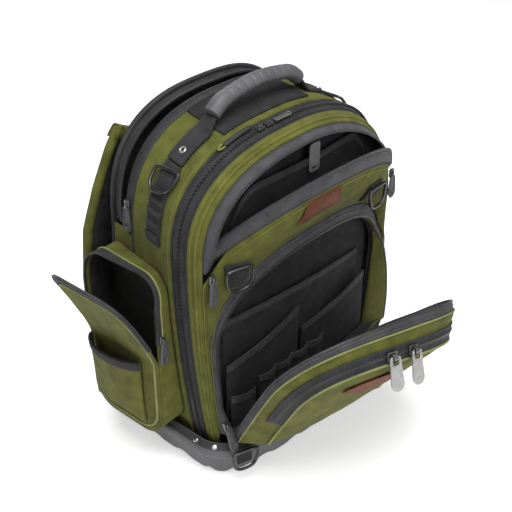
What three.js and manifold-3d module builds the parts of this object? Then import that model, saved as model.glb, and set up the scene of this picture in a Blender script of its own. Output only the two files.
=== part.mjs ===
// Tool backpack with a moulded base, standing open: laptop compartment, two front pockets and a side pocket.
// The front faces -Y, +X is to the right seen from the front, and the origin is the middle of the underside.

import * as THREE from 'three';
import { mergeVertices } from 'three/addons/utils/BufferGeometryUtils.js';
import Module from 'manifold-3d';

const wasm = await Module();
wasm.setup();

// Driving dimensions in millimetres
const GAP = 0.3;
const CLOTH = 2.2;
const PADDED = 5;
const TAPE = 1.2;
const TAPE_WIDTH = 12;
const WEBBING = 1.5;
const FOOT_Z = 6.3;
const WAIST_Z = 150;
const SHOULDER_Z = 310;
const BODY_POWER = 2.65;
const CELLS = 28;
const LEG_CELLS = 5;
const RIM_CELLS = CELLS - 2 * LEG_CELLS;

// Depths along Y, from the front corner of the body to the back
const FRONT_Y = -70;
const ZIP_FRONT_Y = -52;
const ZIP_REAR_Y = -28;
const LAPTOP_FRONT_Y = 50;
const BACK_Y = 95;
const BACK_PAD = 14;
const WALL_Y = -58.5;
const WALL_THICK = 2.5;

// Half-widths of the body at foot, waist and shoulder, its top, and how square its right shoulder is
const SECTIONS = [
  { y: FRONT_Y, foot: 148, waist: 171, shoulder: 177, top: 424, right: 1.95 },
  { y: -40, foot: 152, waist: 176, shoulder: 187, top: 435, right: 2.25 },
  { y: LAPTOP_FRONT_Y, foot: 152, waist: 169, shoulder: 170, top: 448, right: BODY_POWER },
  { y: BACK_Y, foot: 146, waist: 161, shoulder: 160, top: 451, right: BODY_POWER },
];

// Lower front pocket: its arch, the bow of the front panel and of the pocket's rim
const POCKET = { foot: 151, waist: 158, shoulder: 161, top: 290, footZ: 66, waistZ: 130, shoulderZ: 190 };
const POCKET_POWER = 2.3;
const PANEL_BOW = { edge: -70, crown: 18, half: 166 };
const RIM_BOW = { edge: -88, crown: 16, half: 161 };
const COLLAR = { leg: 7, crown: 18, forward: 3, footRise: 40, outer: 4 };
const RIM_LEAN = { out: 28, slip: 4, back: 6, high: 230, turn: 150, corner: { out: 1.2, back: 2 } };
const POCKET_BOTTOM_CELLS = 6;

// Drop-down flap: it leans forward from the rim's foot, further at its right end
const FLAP_LEAN = 38;
const FLAP_TWIST = 9;
const FLAP_TAPER = { left: 0.3, right: 0.4, power: 1.5 };
const FLAP_DRAW = { up: 0.14, out: 0.2 };
const FLAP_MIDDLE = { x: -4, up: 100 };

// Top edge of the upper pocket's flap, from its left end to its right end
const FLAP_EDGE = { left: -160, right: 162, y: -65, z: 338, tape: 20, power: 2.5 };
const FLAP_SLIP = { y: -23, z: 10 };
const FLAP_SWELL = { y: -33, z: 40 };

// Side pocket on the left: loop of its gusset in the YZ plane and how far its panel hangs out
const SIDE = { front: -20, rear: 104, low: 55, high: 290, topRadius: 28, lowRadius: 34, face: -204 };
const SIDE_LEAN = { from: 172, out: 54, drop: 8, power: 1.2 };

const OLIVE = 0x5c6230;
const OLIVE_DARK = 0x474c22;
const BLACK = 0x2b2b2d;
const GREY = 0x4a4a4d;
const RUBBER = 0x55565a;
const STEEL = 0xb4b4b2;
const GUNMETAL = 0x6a6a6a;
const LEATHER = 0x5a2f22;
const BARE_GREY = 0x77787a;

const bag = new THREE.Group();
const { lerp, degToRad, clamp } = THREE.MathUtils;
const vec = (x, y, z) => new THREE.Vector3(x, y, z);
const ACROSS = vec(1, 0, 0);
const BACK = vec(0, 1, 0);
const UP = vec(0, 0, 1);

function piece(name, geometry, color, roughness = 0.85, metalness = 0) {
  const mesh = new THREE.Mesh(geometry, new THREE.MeshStandardMaterial({ color, roughness, metalness }));
  mesh.name = name;
  bag.add(mesh);
  return mesh;
}

// Keeps positions only, joins shared corners, drops flat triangles and turns the faces outwards
function weld(geometry) {
  geometry.deleteAttribute('normal');
  geometry.deleteAttribute('uv');
  const solid = mergeVertices(geometry, 1e-3);
  const old = solid.index.array;
  const at = (i) => new THREE.Vector3().fromBufferAttribute(solid.attributes.position, i);
  const faces = [];
  let volume = 0;
  for (let i = 0; i < old.length; i += 3) {
    const [a, b, c] = [old[i], old[i + 1], old[i + 2]];
    if (a === b || b === c || c === a) continue;
    faces.push([a, b, c]);
    volume += at(a).dot(at(b).cross(at(c)));
  }
  solid.setIndex(faces.flatMap(([a, b, c]) => (volume < 0 ? [a, c, b] : [a, b, c])));
  return solid;
}

// A cloth wall: a grid of cells bent by place(along, across, through), each from 0 to 1.
// Its back face is split along the same diagonals as its front, so that layers lie parallel.
const BACK_FACE = 5;

function cloth(along, across, place) {
  const box = new THREE.BoxGeometry(1, 1, 1, along, across, 1);
  const position = box.attributes.position;
  for (let i = 0; i < position.count; i += 1) {
    const p = place(position.getX(i) + 0.5, position.getY(i) + 0.5, position.getZ(i) + 0.5);
    position.setXYZ(i, p.x, p.y, p.z);
  }
  const { start, count } = box.groups[BACK_FACE];
  for (let i = start; i < start + count; i += 6) {
    const [a, b, d, , c] = [0, 1, 2, 3, 4].map((k) => box.index.getX(i + k));
    [a, b, c, a, c, d].forEach((corner, k) => box.index.setX(i + k, corner));
  }
  return weld(box);
}

// A cup or ring: rows of a profile turned round and stretched to an outline by place(row, turn)
function turned(rows, turns, place) {
  const profile = rows.map((row, i) => new THREE.Vector2(row.pole ? 0 : 1, i));
  const lathe = new THREE.LatheGeometry(profile, turns);
  const position = lathe.attributes.position;
  for (let i = 0; i < position.count; i += 1) {
    const p = place(rows[i % rows.length], (Math.floor(i / rows.length) % turns) / turns);
    position.setXYZ(i, p.x, p.y, p.z);
  }
  return weld(lathe);
}

function toSolid(geometry) {
  const merged = weld(geometry);
  const vertProperties = new Float32Array(merged.attributes.position.array);
  const triVerts = new Uint32Array(merged.index.array);
  return new wasm.Manifold(new wasm.Mesh({ numProp: 3, vertProperties, triVerts }));
}

function joined(...geometries) {
  const mesh = geometries.map(toSolid).reduce((whole, part) => whole.add(part)).getMesh();
  const geometry = new THREE.BufferGeometry();
  geometry.setAttribute('position', new THREE.BufferAttribute(new Float32Array(mesh.vertProperties), 3));
  geometry.setIndex(new THREE.BufferAttribute(new Uint32Array(mesh.triVerts), 1));
  return geometry;
}

// Depth of a mesh's face seen along a direction from a far point
function faceOf(mesh, from, direction) {
  return new THREE.Raycaster(from, direction).intersectObject(mesh)[0].point;
}

// Walks a row of numbers at a fraction of its length, straight between neighbours
function along(list, fraction) {
  const place = clamp(fraction, 0, 1) * (list.length - 1);
  const i = Math.min(Math.floor(place), list.length - 2);
  return lerp(list[i], list[i + 1], place - i);
}

// Half of a bag outline in the XZ plane: three half-widths up the leg, then a rounded arch
function archPoint(t, shape, power) {
  const side = t <= 0.5 ? -1 : 1;
  const k = Math.min(t, 1 - t) * CELLS;
  const { footZ, waistZ, shoulderZ } = shape;
  if (k <= LEG_CELLS) {
    const z = lerp(footZ, shoulderZ, k / LEG_CELLS);
    const low = (shape.foot * (z - waistZ) * (z - shoulderZ)) / ((footZ - waistZ) * (footZ - shoulderZ));
    const mid = (shape.waist * (z - footZ) * (z - shoulderZ)) / ((waistZ - footZ) * (waistZ - shoulderZ));
    const high = (shape.shoulder * (z - footZ) * (z - waistZ)) / ((shoulderZ - footZ) * (shoulderZ - waistZ));
    return new THREE.Vector2(side * (low + mid + high), z);
  }
  const angle = ((k - LEG_CELLS) / (CELLS / 2 - LEG_CELLS)) * (Math.PI / 2);
  const square = side < 0 ? power : shape.right ?? power;
  const out = Math.max(Math.cos(angle), 0) ** (2 / square);
  const up = Math.sin(angle) ** (2 / square);
  return new THREE.Vector2(side * shape.shoulder * out, lerp(shoulderZ, shape.top, up));
}

// The same outline moved outwards by off
function archOffset(cell, shape, power, off) {
  const step = 0.4;
  const a = archPoint(clamp(cell - step, 0, CELLS) / CELLS, shape, power);
  const b = archPoint(clamp(cell + step, 0, CELLS) / CELLS, shape, power);
  const p = archPoint(cell / CELLS, shape, power);
  const slope = b.sub(a).normalize();
  return new THREE.Vector2(p.x - slope.y * off, p.y + slope.x * off);
}

// A place between two cells lies straight between them, as on the faceted skin
function archSkin(cell, shape, power, off) {
  const first = clamp(Math.floor(cell), 0, CELLS - 1);
  const a = archOffset(first, shape, power, off);
  return a.lerp(archOffset(first + 1, shape, power, off), cell - first);
}

// Body section at a depth, straight between the rows of SECTIONS
function bodySection(y) {
  const i = clamp(SECTIONS.findIndex((row) => row.y >= y), 1, SECTIONS.length - 1);
  const [a, b] = [SECTIONS[i - 1], SECTIONS[i]];
  const k = (y - a.y) / (b.y - a.y);
  const mix = (name) => lerp(a[name], b[name], k);
  const widths = { foot: mix('foot'), waist: mix('waist'), shoulder: mix('shoulder'), top: mix('top') };
  return { ...widths, right: mix('right'), footZ: FOOT_Z, waistZ: WAIST_Z, shoulderZ: SHOULDER_Z };
}

function bodyPoint(cell, y, off = 0) {
  const p = archSkin(cell, bodySection(y), BODY_POWER, off);
  return vec(p.x, y, p.y);
}

// Half-width of the body at a height below the shoulder
function bodyHalf(y, z) {
  const legCell = ((z - FOOT_Z) / (SHOULDER_Z - FOOT_Z)) * LEG_CELLS;
  return Math.abs(bodyPoint(legCell, y).x);
}

// A band of the body's skin, over a row of cells and a row of depths
function band(cells, depths, inner, outer) {
  const place = (u, v, w) => bodyPoint(along(cells, u), along(depths, v), lerp(inner, outer, w));
  return cloth(cells.length - 1, depths.length - 1, place);
}

const cellRow = (from, to) => Array.from({ length: to - from + 1 }, (_, i) => from + i);
const ALL_CELLS = cellRow(0, CELLS);
const ARCH_START = LEG_CELLS + 0.05;
const ARCH_CELLS = [ARCH_START, ...cellRow(LEG_CELLS + 1, CELLS - LEG_CELLS - 1), CELLS - ARCH_START];
const mirrored = (cells) => cells.map((cell) => CELLS - cell).reverse();

// A flat wall of the body's arch, from depth y backwards
function archWall(y, thick, inset, bevel = 0, outlineY = y) {
  const points = ALL_CELLS.map((cell) => bodyPoint(cell, outlineY, -inset - bevel));
  const rise = (p) => (p.z < FOOT_Z + 1 ? bevel : 0);
  const shape = new THREE.Shape(points.map((p) => new THREE.Vector2(p.x, p.z + rise(p))));
  const settings = { depth: thick - 2 * bevel, bevelEnabled: bevel > 0, bevelSegments: 2 };
  Object.assign(settings, { bevelSize: bevel, bevelThickness: bevel });
  const wall = new THREE.ExtrudeGeometry(shape, settings);
  return weld(wall.rotateX(Math.PI / 2).translate(0, y + thick - bevel, 0));
}

// A loop of four rounded corners with points along the edges between them, all in one order:
// from the corner at the first axis' high end and the second's low end, by way of both low ends
const loopTurns = (arcSteps, edgeSteps) => edgeSteps.reduce((sum, steps) => sum + arcSteps + 1 + steps, 0);

function roundedLoop(box, arcSteps, edgeSteps) {
  const corners = [
    { a: box.a1, b: box.b0, r: box.r0, start: 0 },
    { a: box.a0, b: box.b0, r: box.r0, start: -90 },
    { a: box.a0, b: box.b1, r: box.r1, start: -180 },
    { a: box.a1, b: box.b1, r: box.r1, start: -270 },
  ];
  const arcs = corners.map(({ a, b, r, start }) => {
    const middle = new THREE.Vector2(a + (a === box.a1 ? -r : r), b + (b === box.b1 ? -r : r));
    return Array.from({ length: arcSteps + 1 }, (_, i) => {
      const angle = degToRad(start - (90 * i) / arcSteps);
      return new THREE.Vector2(middle.x + r * Math.cos(angle), middle.y + r * Math.sin(angle));
    });
  });
  return arcs.flatMap((arc, i) => {
    const end = arc[arcSteps];
    const next = arcs[(i + 1) % arcs.length][0];
    const share = (k) => (k + 1) / (edgeSteps[i] + 1);
    const edge = Array.from({ length: edgeSteps[i] }, (_, k) => end.clone().lerp(next, share(k)));
    return [...arc, ...edge];
  });
}

// Base: a moulded tub with a flared rim and tread lugs; the first axis of its loop is X, the second is Y
const BASE = { half: 168, front: -82, rear: 126, crown: 28, frontRadius: 28, rearRadius: 22, floor: 6 };
const BASE_ARC = 4;
const BASE_EDGES = [7, 5, 5, 5];
const BASE_TURNS = loopTurns(BASE_ARC, BASE_EDGES);

function baseOutline(grow) {
  const sides = { a0: -BASE.half - grow, a1: BASE.half + grow, b0: BASE.front - grow, b1: BASE.rear + grow };
  const radii = { r0: BASE.frontRadius + grow, r1: BASE.rearRadius + grow };
  const loop = roundedLoop({ ...sides, ...radii }, BASE_ARC, BASE_EDGES);
  const frontOf = (y) => clamp((BASE.front + BASE.frontRadius - y) / (BASE.frontRadius + grow), 0, 1);
  loop.forEach((p) => { p.y -= frontOf(p.y) * BASE.crown * (1 - (p.x / (BASE.half + grow)) ** 2); });
  return loop;
}

const BASE_ROWS = [
  { pole: true, z: 0 },
  { grow: -22, z: 0 },
  { grow: -3, z: 0, lug: 5 },
  { grow: 1, z: 7 },
  { grow: 9, z: 35 },
  { grow: 12, z: 40 },
  { grow: 11, z: 46 },
  { grow: 7, z: 48 },
  { grow: 1.5, z: 53 },
  { grow: -0.5, z: 51 },
  { grow: 4, z: 38 },
  { grow: -4, z: 9 },
  { grow: -7, z: BASE.floor },
  { pole: true, z: BASE.floor },
].map((row) => ({ ...row, loop: row.pole ? [] : baseOutline(row.grow) }));

function basePoint(row, turn) {
  if (row.pole) return vec(0, 0, row.z);
  const i = Math.round(turn * BASE_TURNS) % BASE_TURNS;
  const p = row.loop[i];
  return vec(p.x, p.y, row.z + (row.lug && i % 2 ? row.lug : 0));
}

piece('base_tub', turned(BASE_ROWS, BASE_TURNS, basePoint), RUBBER, 0.7);

// Main body: rear band, main zip all round the front, front band, and the wall behind the front pockets
const REAR_ROWS = [ZIP_REAR_Y + GAP, -18, -8, 18, 46, LAPTOP_FRONT_Y];
piece('rear_body', band(ALL_CELLS, REAR_ROWS, -CLOTH, 0), OLIVE);
const ZIP_ROWS = [
  { y: ZIP_FRONT_Y, high: TAPE },
  { y: -45, high: TAPE },
  { y: -43, high: 3.6 },
  { y: -37, high: 3.6 },
  { y: -35, high: TAPE },
  { y: ZIP_REAR_Y, high: TAPE },
];
const zipPlace = (u, v, w) => {
  const high = along(ZIP_ROWS.map((row) => row.high), v);
  return bodyPoint(u * CELLS, along(ZIP_ROWS.map((row) => row.y), v), -CLOTH + w * high);
};
piece('main_zip', cloth(CELLS, ZIP_ROWS.length - 1, zipPlace), BLACK, 0.6);
piece('front_body', band(ALL_CELLS, [FRONT_Y, ZIP_FRONT_Y - GAP], -CLOTH, 0), OLIVE);
piece('front_wall', archWall(WALL_Y, WALL_THICK, CLOTH + GAP), BLACK);

// Ribbed panel on the crown under the handle
const TOP_PANEL = { rows: [-18, -8, 18, 46], firstCell: 12 };
const topCells = cellRow(TOP_PANEL.firstCell, CELLS - TOP_PANEL.firstCell);
piece('top_panel', band(topCells, TOP_PANEL.rows, GAP, GAP + TAPE), BLACK);

// Laptop compartment: padded divider, side gussets, padded back and the two halves of its open zip
const DIVIDER_Y = 43;
piece('laptop_divider', archWall(DIVIDER_Y, PADDED, CLOTH + 1, 0, DIVIDER_Y + PADDED), BLACK);
const gussetDepths = [LAPTOP_FRONT_Y + GAP, BACK_Y - GAP];
piece('laptop_gusset_left', band(cellRow(0, LEG_CELLS), gussetDepths, -CLOTH, 0), OLIVE);
piece('laptop_gusset_right', band(mirrored(cellRow(0, LEG_CELLS)), gussetDepths, -CLOTH, 0), OLIVE);
piece('back_panel', archWall(BACK_Y, BACK_PAD, 0, 4), BLACK);
const rimTape = [LAPTOP_FRONT_Y + GAP, LAPTOP_FRONT_Y + TAPE_WIDTH];
piece('laptop_zip_front', band(ARCH_CELLS, rimTape, -CLOTH, -CLOTH + TAPE), BLACK);
const backTape = [BACK_Y - GAP - TAPE_WIDTH, BACK_Y - GAP];
const BACK_TAPE_INSET = CLOTH + 3;
piece('laptop_zip_rear', band(ARCH_CELLS, backTape, -BACK_TAPE_INSET, -BACK_TAPE_INSET + TAPE), BLACK);

// Upper pocket: zip half on the front band, and the front panel whose top folds forward as the flap
const upperTape = [FRONT_Y - TAPE_WIDTH, FRONT_Y - GAP];
piece('upper_zip_body', band(ARCH_CELLS, upperTape, -CLOTH, -CLOTH + TAPE), GREY);

const bowed = (x, bow) => bow.edge - bow.crown * (1 - clamp(x / bow.half, -1, 1) ** 2);

function flapEdge(fraction, down) {
  const k = clamp(fraction, 0, 1);
  const swell = 1 - Math.abs(2 * k - 1) ** FLAP_EDGE.power;
  const y = FLAP_EDGE.y + FLAP_SLIP.y * k + FLAP_SWELL.y * swell;
  const z = FLAP_EDGE.z + FLAP_SLIP.z * k + FLAP_SWELL.z * swell;
  return vec(lerp(FLAP_EDGE.left, FLAP_EDGE.right, k), y, z - down);
}

// Lower pocket's arch at a cell, moved outwards by off
function pocketOutline(cell, off) {
  return archSkin(cell, POCKET, POCKET_POWER, off);
}

// Width of the zip collar between the pocket's arch and the panel, wider at the crown
function collarWidth(cell) {
  const rise = clamp((Math.min(cell, CELLS - cell) - LEG_CELLS) / LEG_CELLS, 0, 1);
  return lerp(COLLAR.leg, COLLAR.crown, rise);
}

// Share of the rim's lean: its right leg leans forwards and out, more towards the foot
function rimLean({ x, y: z }) {
  const rise = clamp((z - POCKET.footZ) / (RIM_LEAN.high - POCKET.footZ), 0, 1);
  return clamp(x / POCKET.foot, 0, 1) * (1 - rise ** 2);
}

// Depth of the collar's inner edge: on the panel, further forward at the flap's hinge and where the rim leans
function collarFront(x, z, lean) {
  const atHinge = clamp(1 - (z - POCKET.footZ) / COLLAR.footRise, 0, 1);
  const forward = bowed(x, RIM_BOW) + RIM_LEAN.slip * lean;
  return lerp(bowed(x, PANEL_BOW) - COLLAR.forward, forward, Math.max(atHinge, lean));
}

function collarBack(x, lean) {
  return lerp(bowed(x, PANEL_BOW), bowed(x, RIM_BOW) + RIM_LEAN.slip + COLLAR.outer, lean);
}

const PANEL_FOOT_Z = 58;
const PANEL_SHOULDER_Z = 297;
const PANEL_SWELL = 5;
const LEG_SWELL = 1.5;

function frontPanel(cell, v, out) {
  const inner = pocketOutline(cell, collarWidth(cell));
  const lean = rimLean(inner);
  inner.x += RIM_LEAN.out * lean;
  const low = vec(inner.x, collarBack(inner.x, lean), inner.y);
  const edgeCell = Math.min(cell, CELLS - cell);
  const onLeg = edgeCell < LEG_CELLS + 0.1;
  let high = flapEdge((cell - LEG_CELLS) / RIM_CELLS, FLAP_EDGE.tape + GAP);
  if (onLeg) {
    const z = lerp(PANEL_FOOT_Z, PANEL_SHOULDER_Z, edgeCell / LEG_CELLS);
    const half = bodyHalf(FRONT_Y, z);
    const x = cell < CELLS / 2 ? 1 - half : half + RIM_LEAN.corner.out;
    high = vec(x, FRONT_Y - 2 * GAP + RIM_LEAN.corner.back * lean, z);
  }
  const swell = (onLeg ? LEG_SWELL : PANEL_SWELL) * Math.sin(Math.PI * v);
  const turn = degToRad(RIM_LEAN.turn) * lean * (onLeg ? 1 : 1 - v);
  return low.lerp(high, v).addScaledVector(vec(Math.sin(turn), -Math.cos(turn), 0), swell + out);
}

const PANEL_ROWS = 6;
const panelPlace = (u, v, w) => frontPanel(u * CELLS, v, w * CLOTH);
const frontMesh = piece('front_panel', cloth(CELLS, PANEL_ROWS, panelPlace), OLIVE);

const flapTape = (u, v, w) => {
  const p = flapEdge(u, lerp(FLAP_EDGE.tape, 0, v));
  p.y -= lerp(0, TAPE, w);
  return p;
};
piece('upper_zip_flap', cloth(RIM_CELLS, 1, flapTape), GREY);

// Leather patch on the flap, laid over whole cells and rows of the panel
const PATCH = { firstCell: 12, cells: 3, rows: [3, 4, 5, 5.8], thick: 1.6 };
const patchPlace = (u, v, w) => {
  const row = along(PATCH.rows, v) / PANEL_ROWS;
  return frontPanel(PATCH.firstCell + u * PATCH.cells, row, CLOTH + GAP + w * PATCH.thick);
};
piece('upper_patch', cloth(PATCH.cells, PATCH.rows.length - 1, patchPlace), LEATHER, 0.6);

// Slip pocket inside the upper pocket, and the bare tag on its edge
const SLIP = { left: -118, right: 140, low: 296, high: 384, y: WALL_Y - GAP, swell: 9, round: 40 };
const slipHigh = (u) => {
  const fromEnd = Math.min(u, 1 - u) * (SLIP.right - SLIP.left);
  return SLIP.high - SLIP.round * Math.max(0, 1 - fromEnd / SLIP.round) ** 2;
};
const slipPlace = (u, v, w) => {
  const swell = SLIP.swell * Math.sin(Math.PI * u) * v;
  const z = lerp(SLIP.low, slipHigh(u), v);
  return vec(lerp(SLIP.left, SLIP.right, u), SLIP.y - swell - w * CLOTH, z);
};
piece('upper_slip_pocket', cloth(12, 3, slipPlace), BLACK);

const TAG = { left: 10, right: 30, low: 366, high: 404, y: SLIP.y - SLIP.swell - CLOTH - GAP, thick: 1.5 };
const tagPlace = (u, v, w) => {
  return vec(lerp(TAG.left, TAG.right, u), TAG.y - w * TAG.thick, lerp(TAG.low, TAG.high, v));
};
piece('grey_tag', cloth(2, 2, tagPlace), BARE_GREY, 0.7);

// Lower pocket: a rim all round the arch and its foot, with one half of the zip on its front edge
const POCKET_TURNS = CELLS + POCKET_BOTTOM_CELLS;

function pocketLoop(turn, off) {
  const place = turn * POCKET_TURNS;
  if (place <= CELLS) return pocketOutline(place, off);
  const across = (place - CELLS) / POCKET_BOTTOM_CELLS;
  const right = pocketOutline(CELLS, off);
  return new THREE.Vector2(lerp(right.x, -right.x, across), POCKET.footZ - off);
}

const RIM_BACK_Y = FRONT_Y - GAP;
const RIM_ROWS = [
  { off: 0, front: false },
  { off: 0, front: true },
  { off: -CLOTH, front: true },
  { off: -CLOTH, front: false },
  { off: 0, front: false },
];
const rimPlace = (row, turn) => {
  const p = pocketLoop(turn, row.off);
  const lean = rimLean(p);
  if (!row.front) return vec(p.x - RIM_LEAN.back * lean, RIM_BACK_Y, p.y);
  p.x += RIM_LEAN.out * lean;
  return vec(p.x, collarFront(p.x, p.y, lean), p.y);
};
piece('lower_rim', turned(RIM_ROWS, POCKET_TURNS, rimPlace), OLIVE_DARK);

const collarPlace = (u, v, w) => {
  const cell = u * CELLS;
  const p = pocketOutline(cell, lerp(2 * GAP, collarWidth(cell) - 2 * GAP, v));
  const lean = rimLean(p);
  p.x += RIM_LEAN.out * lean;
  return vec(p.x, lerp(collarFront(p.x, p.y, lean), collarBack(p.x, lean), v) - w * TAPE, p.y);
};
piece('lower_zip_body', cloth(CELLS, 1, collarPlace), GREY);

// Organiser pockets: sleeves on the wall, open at the top, the front ones further out
const ORGANISER = [
  { name: 'organiser_back', left: -136, right: 136, high: 208, dip: 10, back: 0, swell: 8, cells: 10 },
  { name: 'organiser_left', left: -141, right: -4, high: 168, dip: -10, back: 11, swell: 6, cells: 8 },
  { name: 'organiser_right', left: 4, right: 141, high: 152, dip: -12, back: 11, swell: 6, cells: 8 },
  { name: 'organiser_pens', left: -92, right: 40, high: 118, dip: 2, back: 20, swell: 5, cells: 12 },
  { name: 'organiser_corner', left: -143, right: -98, high: 112, dip: 6, back: 20, swell: 6, cells: 5 },
];
const ORGANISER_LOW = POCKET.footZ + CLOTH + GAP;
const ORGANISER_CLOTH = 1.6;
const PEN_SLOTS = 4;
const FOOT_SWELL = 0.6;

for (const row of ORGANISER) {
  const place = (u, v, w) => {
    const slots = row.name === 'organiser_pens' ? PEN_SLOTS : 1;
    const slot = Math.abs(Math.sin(Math.PI * u * slots));
    const y = WALL_Y - GAP - row.back - row.swell * slot * lerp(FOOT_SWELL, 1, v) - w * ORGANISER_CLOTH;
    const high = row.high - row.dip * (2 * u - 1);
    return vec(lerp(row.left, row.right, u), y, lerp(ORGANISER_LOW, high, v));
  };
  piece(row.name, cloth(row.cells, 3, place), BLACK);
}

// Drop-down flap: a point by its place across, up from the foot, and out from the zip's plane
const HINGE_GAP = 0.5;
const FLAP_DEPTH = 48.5;

function flapPoint(x, up, out) {
  const lean = degToRad(FLAP_LEAN + FLAP_TWIST * clamp(x / POCKET.shoulder, -1, 1));
  const share = x < 0 ? FLAP_TAPER.left : FLAP_TAPER.right;
  const deep = out * (1 - share * clamp(Math.abs(x) / POCKET.shoulder, 0, 1) ** FLAP_TAPER.power);
  const y = bowed(x, RIM_BOW) - HINGE_GAP - up * Math.sin(lean) - deep * Math.cos(lean);
  const draw = FLAP_DRAW.up * clamp(up / FLAP_MIDDLE.up, 0, 1) + (FLAP_DRAW.out * out) / FLAP_DEPTH;
  return vec(x > 0 ? x * (1 - draw) : x, y, POCKET.footZ + up * Math.cos(lean) - deep * Math.sin(lean));
}

function flapAt(outline, size, out) {
  const x = lerp(FLAP_MIDDLE.x, outline.x, size);
  return flapPoint(x, lerp(FLAP_MIDDLE.up, outline.y - POCKET.footZ, size), out);
}

// Its shell from the middle of the outer panel round the edge and back inside, and the zip band's two edges
const FLAP_PANEL = { middle: { size: 0.4, out: FLAP_DEPTH }, edge: { size: 0.72, out: 47 } };
const BAND = { outer: { size: 0.95, out: 25 }, inner: { size: 0.87, out: 41 }, firstCell: 3 };
const BAND_LIFT = { seat: 0.6, slant: 0.7 };
const FLAP_ROWS = [
  { pole: true, size: 0, out: FLAP_PANEL.middle.out },
  FLAP_PANEL.middle,
  FLAP_PANEL.edge,
  BAND.inner,
  BAND.outer,
  { size: 0.985, out: 18 },
  { size: 1, out: TAPE_WIDTH + GAP },
  { size: 1, out: TAPE_WIDTH + GAP, off: -CLOTH },
  { size: 0.985, out: 18, off: -CLOTH },
  { size: 0.95, out: 24, off: -CLOTH },
  { size: 0.87, out: 38.5, off: -CLOTH },
  { size: 0.72, out: 44.5, off: -CLOTH },
  { size: 0.4, out: 46 },
  { pole: true, size: 0, out: 46 },
];
const flapPlace = (row, turn) => flapAt(pocketLoop(turn, row.off ?? 0), row.size, row.out);
piece('lower_flap', turned(FLAP_ROWS, POCKET_TURNS, flapPlace), OLIVE);

const flapTapePlace = (u, v, w) => {
  const outline = pocketOutline(u * CELLS, -CLOTH + TAPE * w);
  return flapAt(outline, 1, v * TAPE_WIDTH);
};
piece('lower_zip_flap', cloth(CELLS, 1, flapTapePlace), GREY);

// Zip band of the pocket on the flap, lying on the slope between the gusset and the panel
const bandCells = cellRow(BAND.firstCell, CELLS - BAND.firstCell);

function flapBand(cell, v, lift) {
  const outline = pocketOutline(cell, lift * BAND_LIFT.slant);
  const size = lerp(BAND.outer.size, BAND.inner.size, v);
  return flapAt(outline, size, lerp(BAND.outer.out, BAND.inner.out, v) + lift * BAND_LIFT.slant);
}

const bandPlace = (u, v, w) => flapBand(along(bandCells, u), v, BAND_LIFT.seat + w * TAPE);
piece('flap_zip', cloth(bandCells.length - 1, 1, bandPlace), BLACK);

const FLAP_PATCH = { firstCell: 8, cells: 4, outer: 0.7, inner: 0.45, gap: 0.7, thick: 1.6 };
const flapPatchPlace = (u, v, w) => {
  const size = lerp(FLAP_PATCH.outer, FLAP_PATCH.inner, v);
  const { middle, edge } = FLAP_PANEL;
  const out = lerp(edge.out, middle.out, (edge.size - size) / (edge.size - middle.size));
  const outline = pocketOutline(FLAP_PATCH.firstCell + u * FLAP_PATCH.cells, 0);
  return flapAt(outline, size, out + FLAP_PATCH.gap + w * FLAP_PATCH.thick);
};
piece('flap_patch', cloth(FLAP_PATCH.cells, 1, flapPatchPlace), LEATHER, 0.6);

// Side pocket: gusset loop off the body's left face, panel hinged at its foot and hanging out at the top
const SIDE_ARC = 5;
const SIDE_EDGES = [1, 2, 1, 2];
const SIDE_TURNS = loopTurns(SIDE_ARC, SIDE_EDGES);
const SIDE_SEAT = 0.8;
const SIDE_TUCK = { over: 60, by: 8 };
const SIDE_PAD = 4;

function sideLoop(turn, inset) {
  const ends = { a0: SIDE.front + inset, a1: SIDE.rear - inset };
  const heights = { b0: SIDE.low + inset, b1: SIDE.high - inset };
  const radii = { r0: SIDE.lowRadius - inset, r1: SIDE.topRadius - inset };
  const loop = roundedLoop({ ...ends, ...heights, ...radii }, SIDE_ARC, SIDE_EDGES);
  return loop[Math.round(turn * SIDE_TURNS) % SIDE_TURNS];
}

const SIDE_ROWS = [
  { inset: 0, face: true },
  { inset: CLOTH, face: true },
  { inset: CLOTH, face: false },
  { inset: 0, face: false },
  { inset: 0, face: true },
];
const sideGussetPlace = (row, turn) => {
  const p = sideLoop(turn, row.inset);
  const edge = sideLoop(turn, 0);
  const atTop = Math.max(0, 1 + (edge.y - SHOULDER_Z) / SIDE_TUCK.over);
  const onBody = -bodyHalf(p.x, Math.min(p.y, SHOULDER_Z)) - SIDE_SEAT;
  return vec(row.face ? SIDE.face + SIDE_TUCK.by * atTop : onBody, p.x, p.y);
};
piece('side_gusset', turned(SIDE_ROWS, SIDE_TURNS, sideGussetPlace), OLIVE);

const SIDE_MIDDLE = { y: (SIDE.front + SIDE.rear) / 2, z: (SIDE.low + SIDE.high) / 2 };

function sidePanel(p, lift) {
  const rise = Math.max(0, (p.y - SIDE_LEAN.from) / (SIDE.high - SIDE_LEAN.from));
  const x = SIDE.face - GAP - lift - SIDE_LEAN.out * rise ** SIDE_LEAN.power;
  return vec(x, p.x, p.y - SIDE_LEAN.drop * rise);
}

const SIDE_PANEL_ROWS = [
  { pole: true, size: 0, lift: CLOTH + SIDE_PAD },
  { size: 0.6, lift: CLOTH + SIDE_PAD },
  { size: 1, lift: CLOTH },
  { size: 1, lift: 0 },
  { size: 0.6, lift: SIDE_PAD },
  { pole: true, size: 0, lift: SIDE_PAD },
];
const sidePanelPlace = (row, turn) => {
  const p = sideLoop(turn, 0);
  const inner = new THREE.Vector2(lerp(SIDE_MIDDLE.y, p.x, row.size), lerp(SIDE_MIDDLE.z, p.y, row.size));
  return sidePanel(inner, row.lift);
};
const sideMesh = piece('side_panel', turned(SIDE_PANEL_ROWS, SIDE_TURNS, sidePanelPlace), OLIVE);

// Slip pouch on the side panel, sewn down at its sides and foot and bowed out at its mouth
const POUCH = { front: 4, rear: 96, low: 74, high: 172, mouth: 20, power: 0.6, seat: 3 * GAP };

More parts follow.
